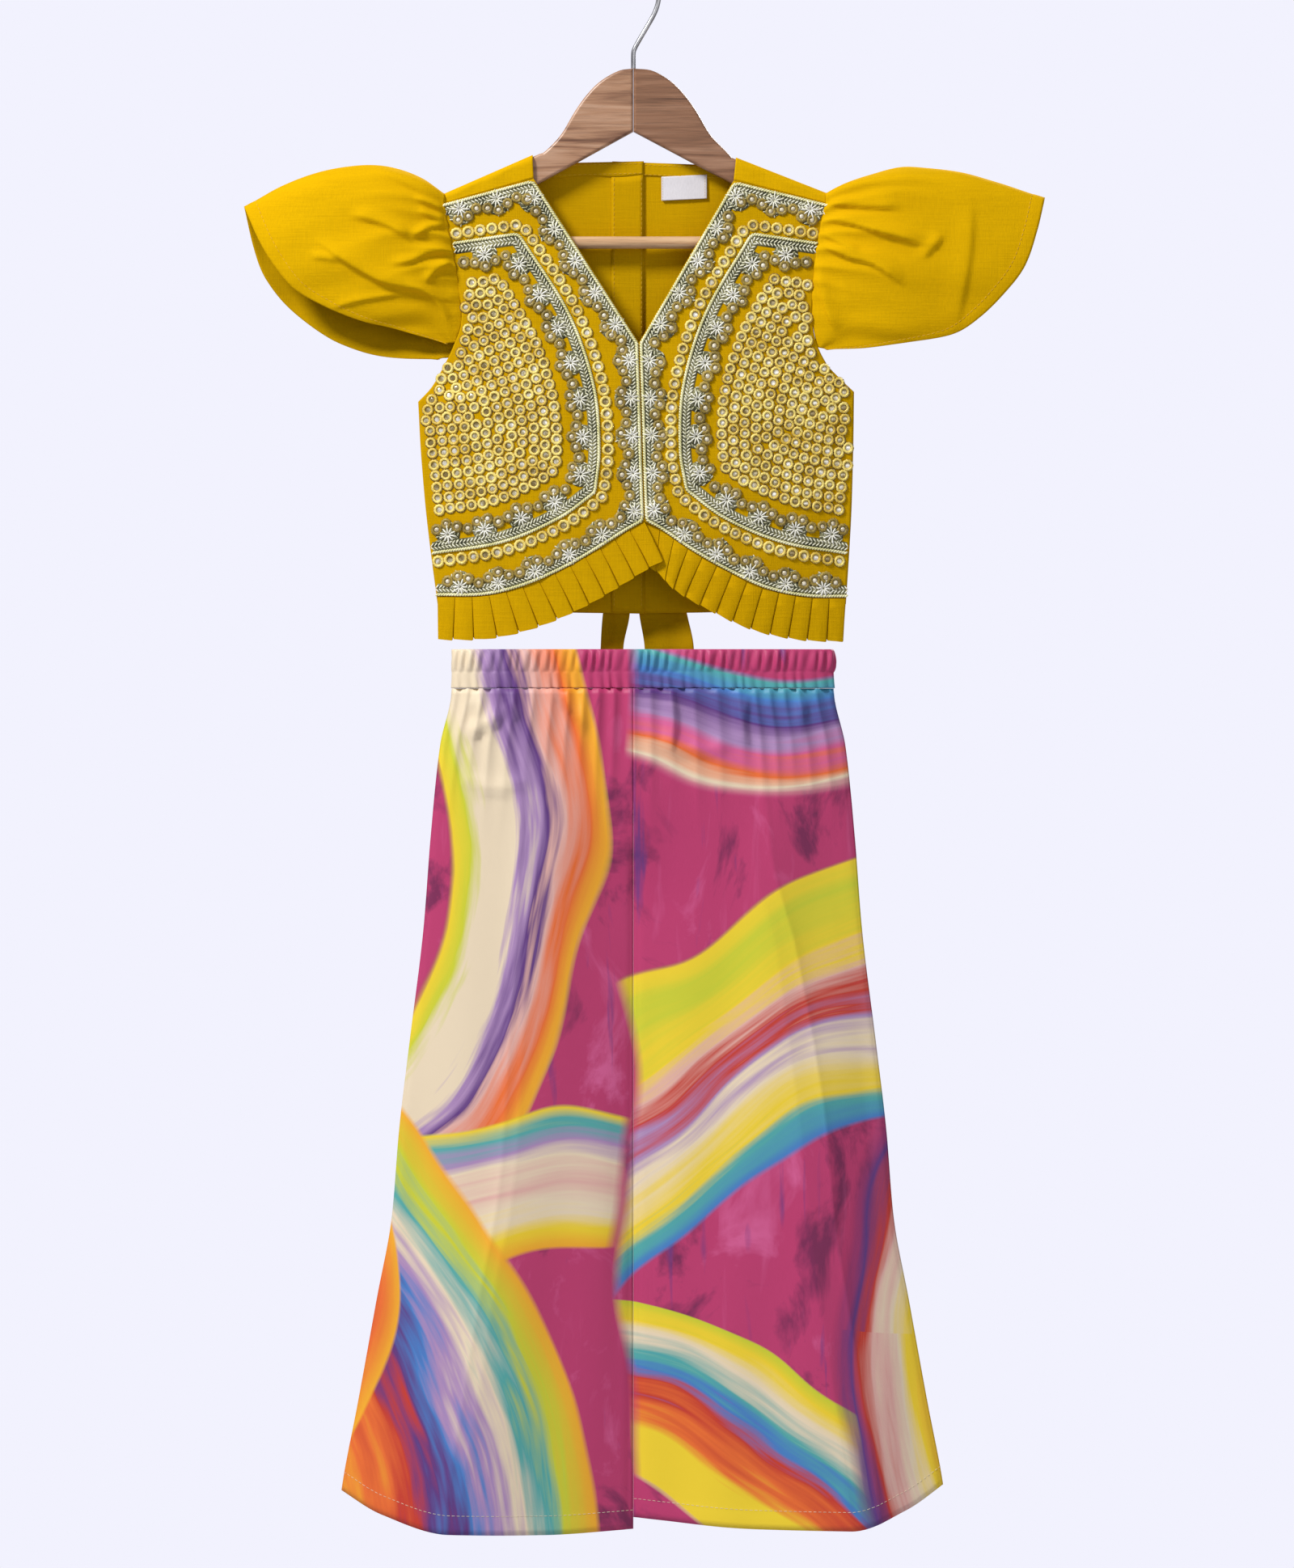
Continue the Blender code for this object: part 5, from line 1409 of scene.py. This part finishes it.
def resampled(path, spacing):
    """A path's points, evenly spaced along it."""
    length = np.concatenate(([0.0], np.cumsum(np.linalg.norm(np.diff(path, axis=0), axis=1))))
    count = max(2, int(round(length[-1] / spacing)) + 1)
    share = np.linspace(0.0, length[-1], count)
    return np.stack([np.interp(share, length, path[:, k]) for k in range(path.shape[1])], axis=-1)


def inward(path, side):
    """The way from each point of a front's path towards the armhole."""
    run = unit(np.gradient(path, axis=0))
    return np.stack((run[:, 1], -run[:, 0]), axis=-1) * -side


def beside(path, distance, side, keep=False):
    """The line at a distance inside a path. Points that a corner crowds out go, or are kept at the corner."""
    moved = path + inward(path, side) * distance
    away = np.linalg.norm(moved[:, None] - path[None], axis=-1).min(axis=1)
    clear = away > abs(distance) - 0.3
    if not keep:
        return moved[clear]
    index = np.arange(len(path))
    return np.stack([np.interp(index, index[clear], moved[clear, k]) for k in range(2)], axis=-1)


def border_path(side):
    """A front's sewn edges: its yoke seam from the armhole, then its neck, its middle and its hem."""
    place = front_place(side)
    t = np.linspace(0.0, 1.0, 240)
    path = np.concatenate((place(t, 0 * t), place(1 + 0 * t, t)[1:], place(1 - t, 1 + 0 * t)[1:]))
    return resampled(path[:, ::2], 1.0)


def inner_path(side, reach=0.0):
    """The middle of the inner braid, run on past the front's edges by a reach."""
    path = []
    for leg in INNER_BRAID[side]:
        path += [tuple(point) for point in along(leg, np.linspace(0.0, 1.0, 60))][1 if path else 0:]
    path = np.array(path)
    if reach:
        start, end = unit(path[0] - path[1]), unit(path[-1] - path[-2])
        path = np.concatenate(([path[0] + start * reach], path, [path[-1] + end * reach]))
    return resampled(path, 1.0)


def within(points, side, margin):
    """Whether points lie inside the armhole and the side seam by a margin."""
    x, z = points.T
    edge = level(ARMHOLE[side] + SIDE_SEAM[side][1:], z, "x")
    return (edge - x) * side > margin


def stand(side, points, run):
    """Where points of a front lie in space, with the frame there: along the run, across it and out."""
    x, z = points.T
    step = 0.5
    slope_x = (front_depth(side, x + step, z) - front_depth(side, x - step, z)) / (2 * step)
    slope_z = (front_depth(side, x, z + step) - front_depth(side, x, z - step)) / (2 * step)
    out = unit(np.stack((-slope_x, -np.ones_like(x), -slope_z), axis=-1))
    ahead = unit(np.stack((run[:, 0], -(slope_x * run[:, 0] + slope_z * run[:, 1]), run[:, 1]), axis=-1))
    frames = np.stack((ahead, np.cross(out, ahead), out), axis=-1)
    return np.stack((x, -front_depth(side, x, z), z), axis=-1), frames


def stamped(form, places, frames, sizes=None):
    """Copies of a form's points and faces at each place, turned to its frame and sized."""
    points, faces = form
    shaped = points[None] * (np.ones((len(places), 1, 3)) if sizes is None else sizes[:, None, :])
    verts = places[:, None] + np.einsum("nij,nkj->nki", frames, shaped)
    shift = np.arange(len(places))[:, None, None] * len(points)
    return verts.reshape(-1, 3), (faces[None] + shift).reshape(-1, faces.shape[1])


def ring_form(radius, wide, high, turns, sides, ripple):
    """A sewn ring: its thread's turns stand up one after another."""
    around, tube = np.meshgrid(np.arange(turns), np.arange(sides), indexing="ij")
    phi, theta = around / turns * 2 * np.pi, tube / sides * 2 * np.pi
    swell = 1.0 + ripple * np.where(around % 2, -1.0, 1.0)
    reach = radius + wide * swell * np.cos(theta)
    points = np.stack((reach * np.cos(phi), reach * np.sin(phi), high * (0.75 + swell * np.sin(theta))),
                      axis=-1)
    return points.reshape(-1, 3), closed_faces(turns, sides)


def dome_form(radius, height, turns, rings, low=-0.2):
    """A low round cap on a flat base."""
    points = [(0.0, 0.0, low)]
    for ring in range(rings):
        angle = math.pi / 2 * ring / rings
        for k in range(turns):
            phi = 2 * math.pi * k / turns
            points.append((radius * math.cos(angle) * math.cos(phi), radius * math.cos(angle) * math.sin(phi),
                           height * math.sin(angle)))
    points.append((0.0, 0.0, height))
    faces = []
    for k in range(turns):
        after = (k + 1) % turns
        faces.append((0, 1 + after, 1 + k))
        for ring in range(rings - 1):
            a, b = 1 + ring * turns + k, 1 + ring * turns + after
            faces += [(a, b, b + turns), (a, b + turns, a + turns)]
        last = 1 + (rings - 1) * turns
        faces.append((last + k, last + after, len(points) - 1))
    return np.array(points), np.array(faces)


def spindle_form(sides=4):
    """One stitch, a unit long and a unit wide, thin at its ends."""
    shares, sizes = (-0.5, -0.36, 0.0, 0.36, 0.5), (0.14, 0.42, 0.5, 0.42, 0.14)
    points = [
        (share, size * math.cos(2 * math.pi * (k + 0.5) / sides),
         size * math.sin(2 * math.pi * (k + 0.5) / sides))
        for share, size in zip(shares, sizes) for k in range(sides)
    ]
    faces = [
        (ring * sides + k, ring * sides + (k + 1) % sides, (ring + 1) * sides + (k + 1) % sides,
         (ring + 1) * sides + k)
        for ring in range(len(shares) - 1) for k in range(sides)
    ]
    last = (len(shares) - 1) * sides
    faces += [(3, 2, 1, 0), (last, last + 1, last + 2, last + 3)]
    return np.array(points), np.array(faces)[:, ::-1]


SPINDLE = spindle_form()
MIRROR_RING = ring_form(radius=3.55, wide=1.25, high=1.0, turns=22, sides=5, ripple=0.17)
BEAD_RING = ring_form(radius=3.5, wide=1.55, high=1.25, turns=20, sides=5, ripple=0.2)
GLASS = dome_form(radius=2.75, height=0.42, turns=14, rings=2)
PEARL_FORM = dome_form(radius=2.3, height=1.9, turns=12, rings=4)
STAR_GROUND_RADIUS = 10.6
STAR_GROUND = dome_form(STAR_GROUND_RADIUS, height=0.3, turns=20, rings=2, low=-0.7)
# Dark disc under each mirror: partly its stitched base, partly painted shade round its ring
MIRROR_SHADE_GROUND = dome_form(radius=5.3, height=0.1, turns=14, rings=1, low=-0.6)
# How far inside the armhole and the side seam each kind of needlework stays
MIRROR_MARGIN = 4.4
BEAD_MARGIN = 4.6
ROW_MARGIN = 4.8
STAR_MARGIN = 5.0
SPECKLE_MARGIN = 2.4
# The single row of mirrors lies this far from the inner braid, on its other side
ROW_OFFSET = -11.7
MIRROR_PITCH = 9.5
ROW_PITCH = 10.2
ROW_SIZE = 1.07
BEAD_PITCH = 9.7
STAR_PITCH = 32.0
STAR_RAYS = 10
STAR_REACH = 7.5
FIELD_START = 32.0
FIELD_STEP = 9.6
FIELD_ROWS = 15
SPECKLES = 38
GOLDEN_ANGLE = 2.39996
# The field is filled again after every so many of its turns of nudging
FILL_TURNS = 72
FILL_EVERY = 24
FREE_ROOM = 7.6
MIRROR_ROOM = 9.25
HERRINGBONE = {"pitch": 3.1, "length": 3.9, "tilt": 0.8, "width": 1.45}
CORD = {"pitch": 2.3, "length": 3.9, "tilt": 0.6, "width": 2.4}


def stitches(side, path, offset, pitch, length, tilt, width, height=0.85, lean_way=1.0):
    """A row of slanting stitches beside a path."""
    line = resampled(beside(path, offset, side) if offset else path, pitch)
    run = unit(np.gradient(line, axis=0))
    turned = np.stack((run[:, 0] * math.cos(tilt) - lean_way * run[:, 1] * math.sin(tilt),
                       lean_way * run[:, 0] * math.sin(tilt) + run[:, 1] * math.cos(tilt)), axis=-1)
    places, frames = stand(side, line, turned)
    places = places + frames[:, :, 2] * height
    sizes = np.tile((length, width, width * 0.8), (len(line), 1))
    return stamped(SPINDLE, places, frames, sizes)


def strip(side, path, width, height):
    """The flat ground that a braid's stitches are sewn on."""
    near, far = beside(path, -width / 2, side, keep=True), beside(path, width / 2, side, keep=True)
    share = np.linspace(0.0, 1.0, 5)[:, None, None]
    flat = near[None] * (1 - share) + far[None] * share
    x, z = flat[..., 0], flat[..., 1]
    crown = height * (1.0 - 0.5 * (2 * share[..., 0] - 1) ** 4)
    points = np.stack((x, -front_depth(side, x, z) - crown, z), axis=-1)
    return wall_arrays(points, np.array(TO_FRONT), 0.5)


def needle_piece(name, parts, material, slot, nodes=()):
    verts, faces = merged(parts)
    return finished(bpy.data.objects.new(name, new_mesh(name, verts, [faces])), material, slot, list(nodes))


def make_braids():
    """Braids of two rows of herringbone stitches beside one twisted cord."""
    for side in (LEFT, RIGHT):
        paths = {"outer": beside(border_path(side), BRAID_WIDTH / 2 + 0.8, side), "inner": inner_path(side)}
        for word, path in paths.items():
            path = resampled(path, 1.8)
            name = word + "_" + SIDE_NAME[side]
            needle_piece("braid_ground_" + name, [strip(side, path, BRAID_WIDTH + 0.6, 0.5)], BRAID_GROUND,
                         "braid",
                         ["braid_" + name])
            parts = [
                stitches(side, path, offset, HERRINGBONE["pitch"], HERRINGBONE["length"], HERRINGBONE["tilt"],
                         HERRINGBONE["width"], lean_way=way * side)
                for offset, way in ((-0.4, 1.0), (2.9, -1.0))
            ]
            needle_piece("braid_thread_" + name, parts, BRAID_THREAD, "braid")
            cord = stitches(side, path, -3.9, CORD["pitch"], CORD["length"], CORD["tilt"], CORD["width"], 1.0)
            needle_piece("braid_cord_" + name, [cord], CORD_THREAD, "braid")


def chain(path, side, near, far, star_at, phase):
    """Stars in a row beside a path, and the scalloped line of beads that runs round them."""
    base = resampled(beside(path, near, side), 1.0)
    along_base = np.concatenate(([0.0], np.cumsum(np.linalg.norm(np.diff(base, axis=0), axis=1))))
    count = round(along_base[-1] / STAR_PITCH)
    wave = 0.5 - 0.5 * np.cos(2 * np.pi * (along_base / along_base[-1] * count + phase))
    scallop = base + inward(base, side) * ((far - near) * wave)[:, None]
    centres = (np.arange(count + 1) + 0.5 - phase) / count * along_base[-1]
    centres = centres[(centres > 4.0) & (centres < along_base[-1] - 4.0)]
    stars = np.stack([np.interp(centres, along_base, base[:, k]) for k in range(2)], axis=-1)
    way = np.stack([np.interp(centres, along_base, inward(base, side)[:, k]) for k in range(2)], axis=-1)
    return resampled(scallop, BEAD_PITCH), stars + unit(way) * (star_at - near)


def star_parts(side, stars):
    """Embroidered stars of long stitches, uneven in length as sewn ones are."""
    parts = []
    for k, star in enumerate(stars):
        angle = 2 * np.pi * (np.arange(STAR_RAYS) + 0.31 * k) / STAR_RAYS
        reach = STAR_REACH * (0.86 + 0.14 * np.cos(np.arange(STAR_RAYS) * 2.4 + k))
        run = np.stack((np.cos(angle), np.sin(angle)), axis=-1)
        middle = star + run * (reach / 2 + 0.9)[:, None]
        places, frames = stand(side, middle, run)
        places = places + frames[:, :, 2] * 1.45
        sizes = np.stack((reach, np.full(STAR_RAYS, 1.65), np.full(STAR_RAYS, 2.0)), axis=-1)
        parts.append(stamped(SPINDLE, places, frames, sizes))
    return parts


def speckle(side, stars):
    """Short scattered stitches that fill the ground round each star."""
    k = np.arange(SPECKLES)
    parts = []
    for n, star in enumerate(stars):
        angle, reach = k * GOLDEN_ANGLE + n, STAR_GROUND_RADIUS * np.sqrt((k + 0.5) / SPECKLES)
        points = star + np.stack((np.cos(angle), np.sin(angle)), axis=-1) * reach[:, None]
        turn = np.sin(k * 12.9 + n * 4.1) * np.pi
        inside = within(points, side, SPECKLE_MARGIN)
        points, turn = points[inside], turn[inside]
        places, frames = stand(side, points, np.stack((np.cos(turn), np.sin(turn)), axis=-1))
        places = places + frames[:, :, 2] * 0.75
        parts.append(stamped(SPINDLE, places, frames, np.tile((3.5, 1.5, 0.9), (len(points), 1))))
    return parts


def spaced(points, least):
    """The points without those too close to an earlier one."""
    kept = []
    for point in points:
        if all(np.hypot(*(point - other)) > least for other in kept):
            kept.append(point)
    return np.array(kept)


def nudged(points, path, side, by):
    """Points moved in from the part of a path that they are nearest to."""
    nearest = np.linalg.norm(points[:, None] - path[None], axis=-1).argmin(axis=1)
    return points + inward(path, side)[nearest] * by


def filled(mirrors, path, side):
    """The field's mirrors with any left-over place filled, then nudged apart."""
    low, high = path.min(axis=0), path.max(axis=0)
    x, z = np.meshgrid(np.arange(low[0], high[0], 2.0), np.arange(low[1], high[1], 2.0))
    free = np.stack((x.ravel(), z.ravel()), axis=-1)
    free = free[within(free, side, 5.0)]
    nearest = np.linalg.norm(free[:, None] - path[None], axis=-1).argmin(axis=1)
    inside = ((free - path[nearest]) * inward(path, side)[nearest]).sum(-1)
    free = free[inside > FIELD_START]
    for turn in range(FILL_TURNS):
        if turn % FILL_EVERY == 0:
            for point in free:
                if np.linalg.norm(mirrors - point, axis=1).min() > FREE_ROOM:
                    mirrors = np.concatenate((mirrors, point[None]))
        apart = mirrors[:, None] - mirrors[None]
        away = np.linalg.norm(apart, axis=-1) + np.eye(len(mirrors)) * 99.0
        push = np.where(away < MIRROR_ROOM, (MIRROR_ROOM - away) * 0.25, 0.0)
        moved = mirrors + (apart / away[..., None] * push[..., None]).sum(axis=1)
        mirrors = np.where(within(moved, side, MIRROR_MARGIN)[:, None], moved, mirrors)
    return mirrors


def make_needlework():
    """Stars, ringed pearls, and mirrors in rows and in a field."""
    for side, name in SIDE_NAME.items():
        border, inner, long_inner = border_path(side), inner_path(side, 12.0), inner_path(side, 150.0)
        outer_beads, outer_stars = chain(border, side, near=11.5, far=18.0, star_at=8.5, phase=0.12)
        inner_beads, inner_stars = chain(inner, side, near=12.8, far=19.3, star_at=9.8, phase=0.35)
        beads = np.concatenate((outer_beads, inner_beads))
        beads = spaced(beads[within(beads, side, BEAD_MARGIN)], 8.3)
        stars = np.concatenate((outer_stars, inner_stars))
        kept = within(stars, side, STAR_MARGIN)
        stars = stars[kept]
        grounds = np.concatenate((nudged(outer_stars, border, side, 3.2), inner_stars))[kept]
        single = spaced(resampled(beside(long_inner, ROW_OFFSET, side), ROW_PITCH), 8.6)
        single = single[within(single, side, ROW_MARGIN)]
        rows = []
        for row in range(FIELD_ROWS):
            line = beside(long_inner, FIELD_START + FIELD_STEP * row, side)
            if len(line) > 12:
                rows.append(resampled(line[(row % 2) * 5:], MIRROR_PITCH))
        mirrors = np.concatenate(rows)
        mirrors = mirrors[within(mirrors, side, MIRROR_MARGIN)]
        mirrors = filled(spaced(mirrors, 8.0), long_inner, side)
        wobble = 0.35 * np.stack((np.sin(mirrors[:, 0] * 1.7 + mirrors[:, 1]), np.cos(mirrors[:, 1] * 2.3)),
                                 axis=-1)
        mirrors = np.concatenate((mirrors + wobble, single))
        sizes = {"mirror": np.concatenate((np.ones(len(wobble)), np.full(len(single), ROW_SIZE)))[:, None],
                 "bead": np.ones((len(beads), 1))}
        needle_piece("stars_" + name, star_parts(side, stars), STAR_THREAD, "thread")
        flat, frames = stand(side, grounds, np.tile((1.0, 0.0), (len(grounds), 1)))
        needle_piece("star_grounds_" + name, [stamped(STAR_GROUND, flat + frames[:, :, 2] * 0.4, frames)],
                     BRAID_GROUND, "braid")
        needle_piece("star_speckle_" + name, speckle(side, grounds), SPECKLE_THREAD, "braid")
        # Discs under the mirrors, partly stitched base and partly painted shade
        flat, frames = stand(side, mirrors, np.tile((1.0, 0.0), (len(mirrors), 1)))
        needle_piece("mirror_shade_grounds_" + name, [stamped(MIRROR_SHADE_GROUND, flat + frames[:, :, 2] * 0.4, frames)],
                     UNDER_THREAD_AND_SHADE, "thread")
        for word, points, ring, centre, thread, slot, stone, size in (
            ("mirror", mirrors, MIRROR_RING, GLASS, RING_THREAD, "mirror", MIRROR, 0.05),
            ("bead", beads, BEAD_RING, PEARL_FORM, OLIVE_THREAD, "beads", PEARL, 0.06),
        ):
            turn = np.sin(points[:, 0] * 3.1 + points[:, 1] * 1.3) * np.pi
            places, frames = stand(side, points, np.stack((np.cos(turn), np.sin(turn)), axis=-1))
            uneven = sizes[word] + size * np.sin(points[:, :1] * 5.3 + points[:, 1:] * 2.9) * np.ones((1, 3))
            tilt = 0.09 * np.stack((np.sin(points[:, 0] * 7.7), np.cos(points[:, 1] * 6.1), 0 * turn),
                                   axis=-1)
            tipped = frames.copy()
            tipped[:, :, 2] = unit(frames[:, :, 2] + np.einsum("nij,nj->ni", frames, tilt))
            needle_piece(word + "_rings_" + name, [stamped(ring, places, frames, uneven)], thread, "thread")
            needle_piece(word + "_stones_" + name,
                         [stamped(centre, places + frames[:, :, 2] * 0.35, tipped, uneven)],
                         stone, slot)


SEAM_POINTS = 300
PLACKET_SEAM_TOP = -178.0
# From a back's outer face to the inner face of its facing
FACING_DEPTH = 2 * THIN + 0.1


def seam_stitches(points, normals, pitch=4.2, length=2.9, width=0.5):
    """A line of machine stitches along points in space, with a normal for each or one for all."""
    both = resampled(np.concatenate((points, np.broadcast_to(normals, points.shape)), axis=1), pitch)
    places, out = both[:, :3], unit(both[:, 3:])
    ahead = unit(np.gradient(places, axis=0))
    frames = np.stack((ahead, np.cross(out, ahead), out), axis=-1)
    sizes = np.tile((length, width, width), (len(places), 1))
    return stamped(SPINDLE, places + out * 0.12, frames, sizes)


def make_seams():
    """Machine stitching on hems, facings and seams."""
    yellow, pale = [], []
    t = np.linspace(0.0, 1.0, SEAM_POINTS)
    for side in (LEFT, RIGHT):
        points, normals = sleeve_points(side)
        row = int(round((1.0 - SLEEVE_HEM_WIDTH - 0.006) * SLEEVE_GRID[1]))
        yellow.append(seam_stitches(points[row], normals[row]))
        lap_x = LAP_X[side]
        for inset in (2.0, FACING_WIDTH - 1.5):
            x = np.full(SEAM_POINTS, lap_x + side * inset)
            z = PLACKET_SEAM_TOP + (BACK_HEM_HEIGHT["middle"] + 8.0 - PLACKET_SEAM_TOP) * t
            outer = np.stack((x, back_depth(side, x, z), z), axis=-1)
            yellow.append(seam_stitches(outer, TO_BACK))
            inside = outer - (0.0, FACING_DEPTH, 0.0)
            yellow.append(seam_stitches(inside, TO_FRONT))
        reach = (NECK_POINT[side][0] - side * 6.0, lap_x + side * 3.0)
        x = reach[0] + (reach[1] - reach[0]) * t
        for below, face in ((2.0, 1), (NECK_BAND - 1.5, 1), (2.0, -1), (NECK_BAND - 1.8, -1)):
            z = back_neck_height(side, x) - below
            y = back_depth(side, x, z) - (FACING_DEPTH if face < 0 else 0.0)
            yellow.append(seam_stitches(np.stack((x, y, z), axis=-1), (0.0, face, 0.0)))
        place = back_place(side)
        u = 0.02 + 0.96 * t
        hem = place(u, np.full(SEAM_POINTS, 0.965))
        yellow.append(seam_stitches(hem, TO_BACK))
        for layer in (FRONT, BACK):
            hem = leg_place(side, layer)(0.004 + 0.992 * t, np.full(SEAM_POINTS, 0.9775))
            pale.append(seam_stitches(hem, (0.0, float(layer), 0.0)))
    needle_piece("top_stitching", yellow, SEWING_THREAD, "thread")
    needle_piece("palazzo_stitching", pale, PALE_SEWING, "thread")


def make_label():
    """A bare folded ribbon label, a little askew and lifted at its lower edge."""
    u, v = grid(48, 26)
    (x_low, x_high), (z_low, z_high) = LABEL_BOX["x"], LABEL_BOX["z"]
    x = x_low + 0.6 + (x_high - x_low - 1.2) * u
    z = z_high - 1.4 + (z_low - z_high + 2.6) * v - (x - (x_low + x_high) / 2) * -0.045
    back = back_depth(RIGHT, x, z) - 2 * THIN
    lifted = 0.7 * v**2 + 0.25 * np.sin(3.4 * u + 0.4) * v
    front = np.stack((x, back - 0.9 - lifted, z), axis=-1)
    behind = np.stack((x, back - 0.35 - 0.5 * lifted, z + 0.4), axis=-1)
    piece = cloth("label_ribbon", [(front, TO_FRONT), (behind, TO_FRONT)], LABEL_SATIN, "label",
                  ["neck_label"], wall=0.25)
    t = np.linspace(0.04, 0.96, 60)
    parts = []
    for side_u in (0.03, 0.97):
        row = np.stack([np.interp(t, np.linspace(0, 1, 27), front[:, int(side_u * 48), k]) for k in range(3)],
                       axis=-1)
        parts.append(seam_stitches(row, TO_FRONT, pitch=2.4, length=1.6, width=0.4))
    needle_piece("label_stitches", parts, SEWING_THREAD, "thread")


THREAD_RISE = 0.55
BUTTON_PROFILE = ((0.0, -1.1), (3.6, -1.1), (5.1, -0.6), (5.5, 0.1), (5.2, 0.8), (4.6, 1.1), (4.0, 0.9),
                  (3.4, 0.35), (0.0, 0.2))


def button_places():
    """The height and the depth of each button's middle."""
    for number in range(BUTTONS):
        z = BUTTON_TOP - BUTTON_PITCH * number
        yield z, top_depth(BACK_FORM, RIGHT, BUTTON_X, z) + PLACKET_STEP + LIFT + BUTTON_THICKNESS / 2


def make_buttons():
    """Turned buttons with a rim and a dished middle, sewn on with crossed thread."""
    turns = 40
    for number, (z, y) in enumerate(button_places()):
        points, faces, quads = [], [], []
        inner = BUTTON_PROFILE[1:-1]
        for radius, out in inner:
            for k in range(turns):
                phi = 2 * math.pi * k / turns
                points.append((BUTTON_X + radius * math.cos(phi), y + out, z + radius * math.sin(phi)))
        for ring in range(len(inner) - 1):
            for k in range(turns):
                after = (k + 1) % turns
                quads.append((ring * turns + k, (ring + 1) * turns + k, (ring + 1) * turns + after,
                              ring * turns + after))
        first, last = len(points), len(points) + 1
        points += [(BUTTON_X, y + BUTTON_PROFILE[0][1], z), (BUTTON_X, y + BUTTON_PROFILE[-1][1], z)]
        for k in range(turns):
            after = (k + 1) % turns
            faces.append((first, k, after))
            faces.append((last, (len(inner) - 1) * turns + after, (len(inner) - 1) * turns + k))
        mesh = new_mesh("button_turned_%d" % (number + 1), np.array(points),
                        [np.array(quads), np.array(faces)])
        finished(bpy.data.objects.new(mesh.name, mesh), BUTTON, "button", ["button_%d" % (number + 1)])
    parts = []
    for z, y in button_places():
        for turn in (math.pi / 4, -math.pi / 4):
            ahead = np.array((math.cos(turn), 0.0, math.sin(turn)))
            out = np.array(TO_BACK)
            frame = np.stack((ahead, np.cross(out, ahead), out), axis=-1)[None]
            for shift in (-0.35, 0.35):
                centre = np.array((BUTTON_X, y + THREAD_RISE, z)) + np.cross(out, ahead) * shift
                parts.append(stamped(SPINDLE, centre[None], frame, np.array([[3.4, 0.55, 0.55]])))
    needle_piece("button_thread", parts, SEWING_THREAD, "thread")


def make_camera():
    camera = bpy.data.cameras.new("camera")
    camera.sensor_width = SENSOR
    camera.lens = SENSOR * CAMERA_DISTANCE / VIEW_HEIGHT
    camera.clip_end = 100.0
    holder = bpy.data.objects.new("camera", camera)
    holder.location = Vector((VIEW_CENTRE[0], -CAMERA_DISTANCE, VIEW_CENTRE[1])) * MM
    holder.rotation_euler = (math.radians(90), 0, 0)
    bpy.context.scene.collection.objects.link(holder)
    bpy.context.scene.camera = holder


def make_light(name, place, target, size, power):
    lamp = bpy.data.lights.new(name, "AREA")
    lamp.shape = "DISK"
    lamp.size = size
    lamp.energy = power
    holder = bpy.data.objects.new(name, lamp)
    holder.location = place
    holder.rotation_euler = (Vector(target) - Vector(place)).to_track_quat("-Z", "Y").to_euler()
    bpy.context.scene.collection.objects.link(holder)


def make_room():
    """A pale floor below the hanging set, soft light, and a pale ground behind."""
    scene = bpy.context.scene
    scene.view_settings.view_transform = "Standard"
    world = bpy.data.worlds.new("room")
    scene.world = world
    world.use_nodes = True
    tree = world.node_tree
    background = tree.nodes["Background"]
    ground, room = (0.888, 0.888, 0.991), (0.27, 0.27, 0.29)
    seen = node(tree, "LightPath", output=0)
    tree.links.new(mixed(tree, seen, room, ground), background.inputs["Color"])
    make_light("key", (-2.5, -2.2, 2.6), (0.0, 0.0, -0.6), size=1.1, power=225.0)
    make_light("fill", (2.6, -3.4, 0.2), (0.0, 0.0, -0.7), size=2.4, power=12.0)
    make_light("card", (1.3, -6.0, 0.3), (0.0, 0.0, -0.5), size=2.6, power=20.0)
    make_light("back", (1.9, 3.4, 1.5), (0.0, 0.0, -0.6), size=2.0, power=190.0)
    floor = bpy.data.meshes.new("floor")
    half, z = 2.5, FLOOR_HEIGHT * MM
    corners = [(-half, -half, z), (half, -half, z), (half, half, z), (-half, half, z)]
    floor.from_pydata(corners, [], [(0, 1, 2, 3)])
    holder = bpy.data.objects.new("floor", floor)
    scene.collection.objects.link(holder)
    material, tree, shader = new_material("floor_paint", roughness=0.8)
    cloud = grain(tree, (3.0, 3.0, 3.0), 2.0)
    tree.links.new(ramp(tree, cloud, (0.3, (0.44, 0.44, 0.49)), (0.7, (0.47, 0.47, 0.52))),
                   shader.inputs["Base Color"])
    floor.materials.append(material)


make_camera()
make_room()
make_hanger()
make_fronts()
make_backs()
make_yokes()
make_sleeves()
make_frills()
make_waistband()
make_legs()
make_sash()
make_braids()
make_needlework()
make_seams()
make_label()
make_buttons()
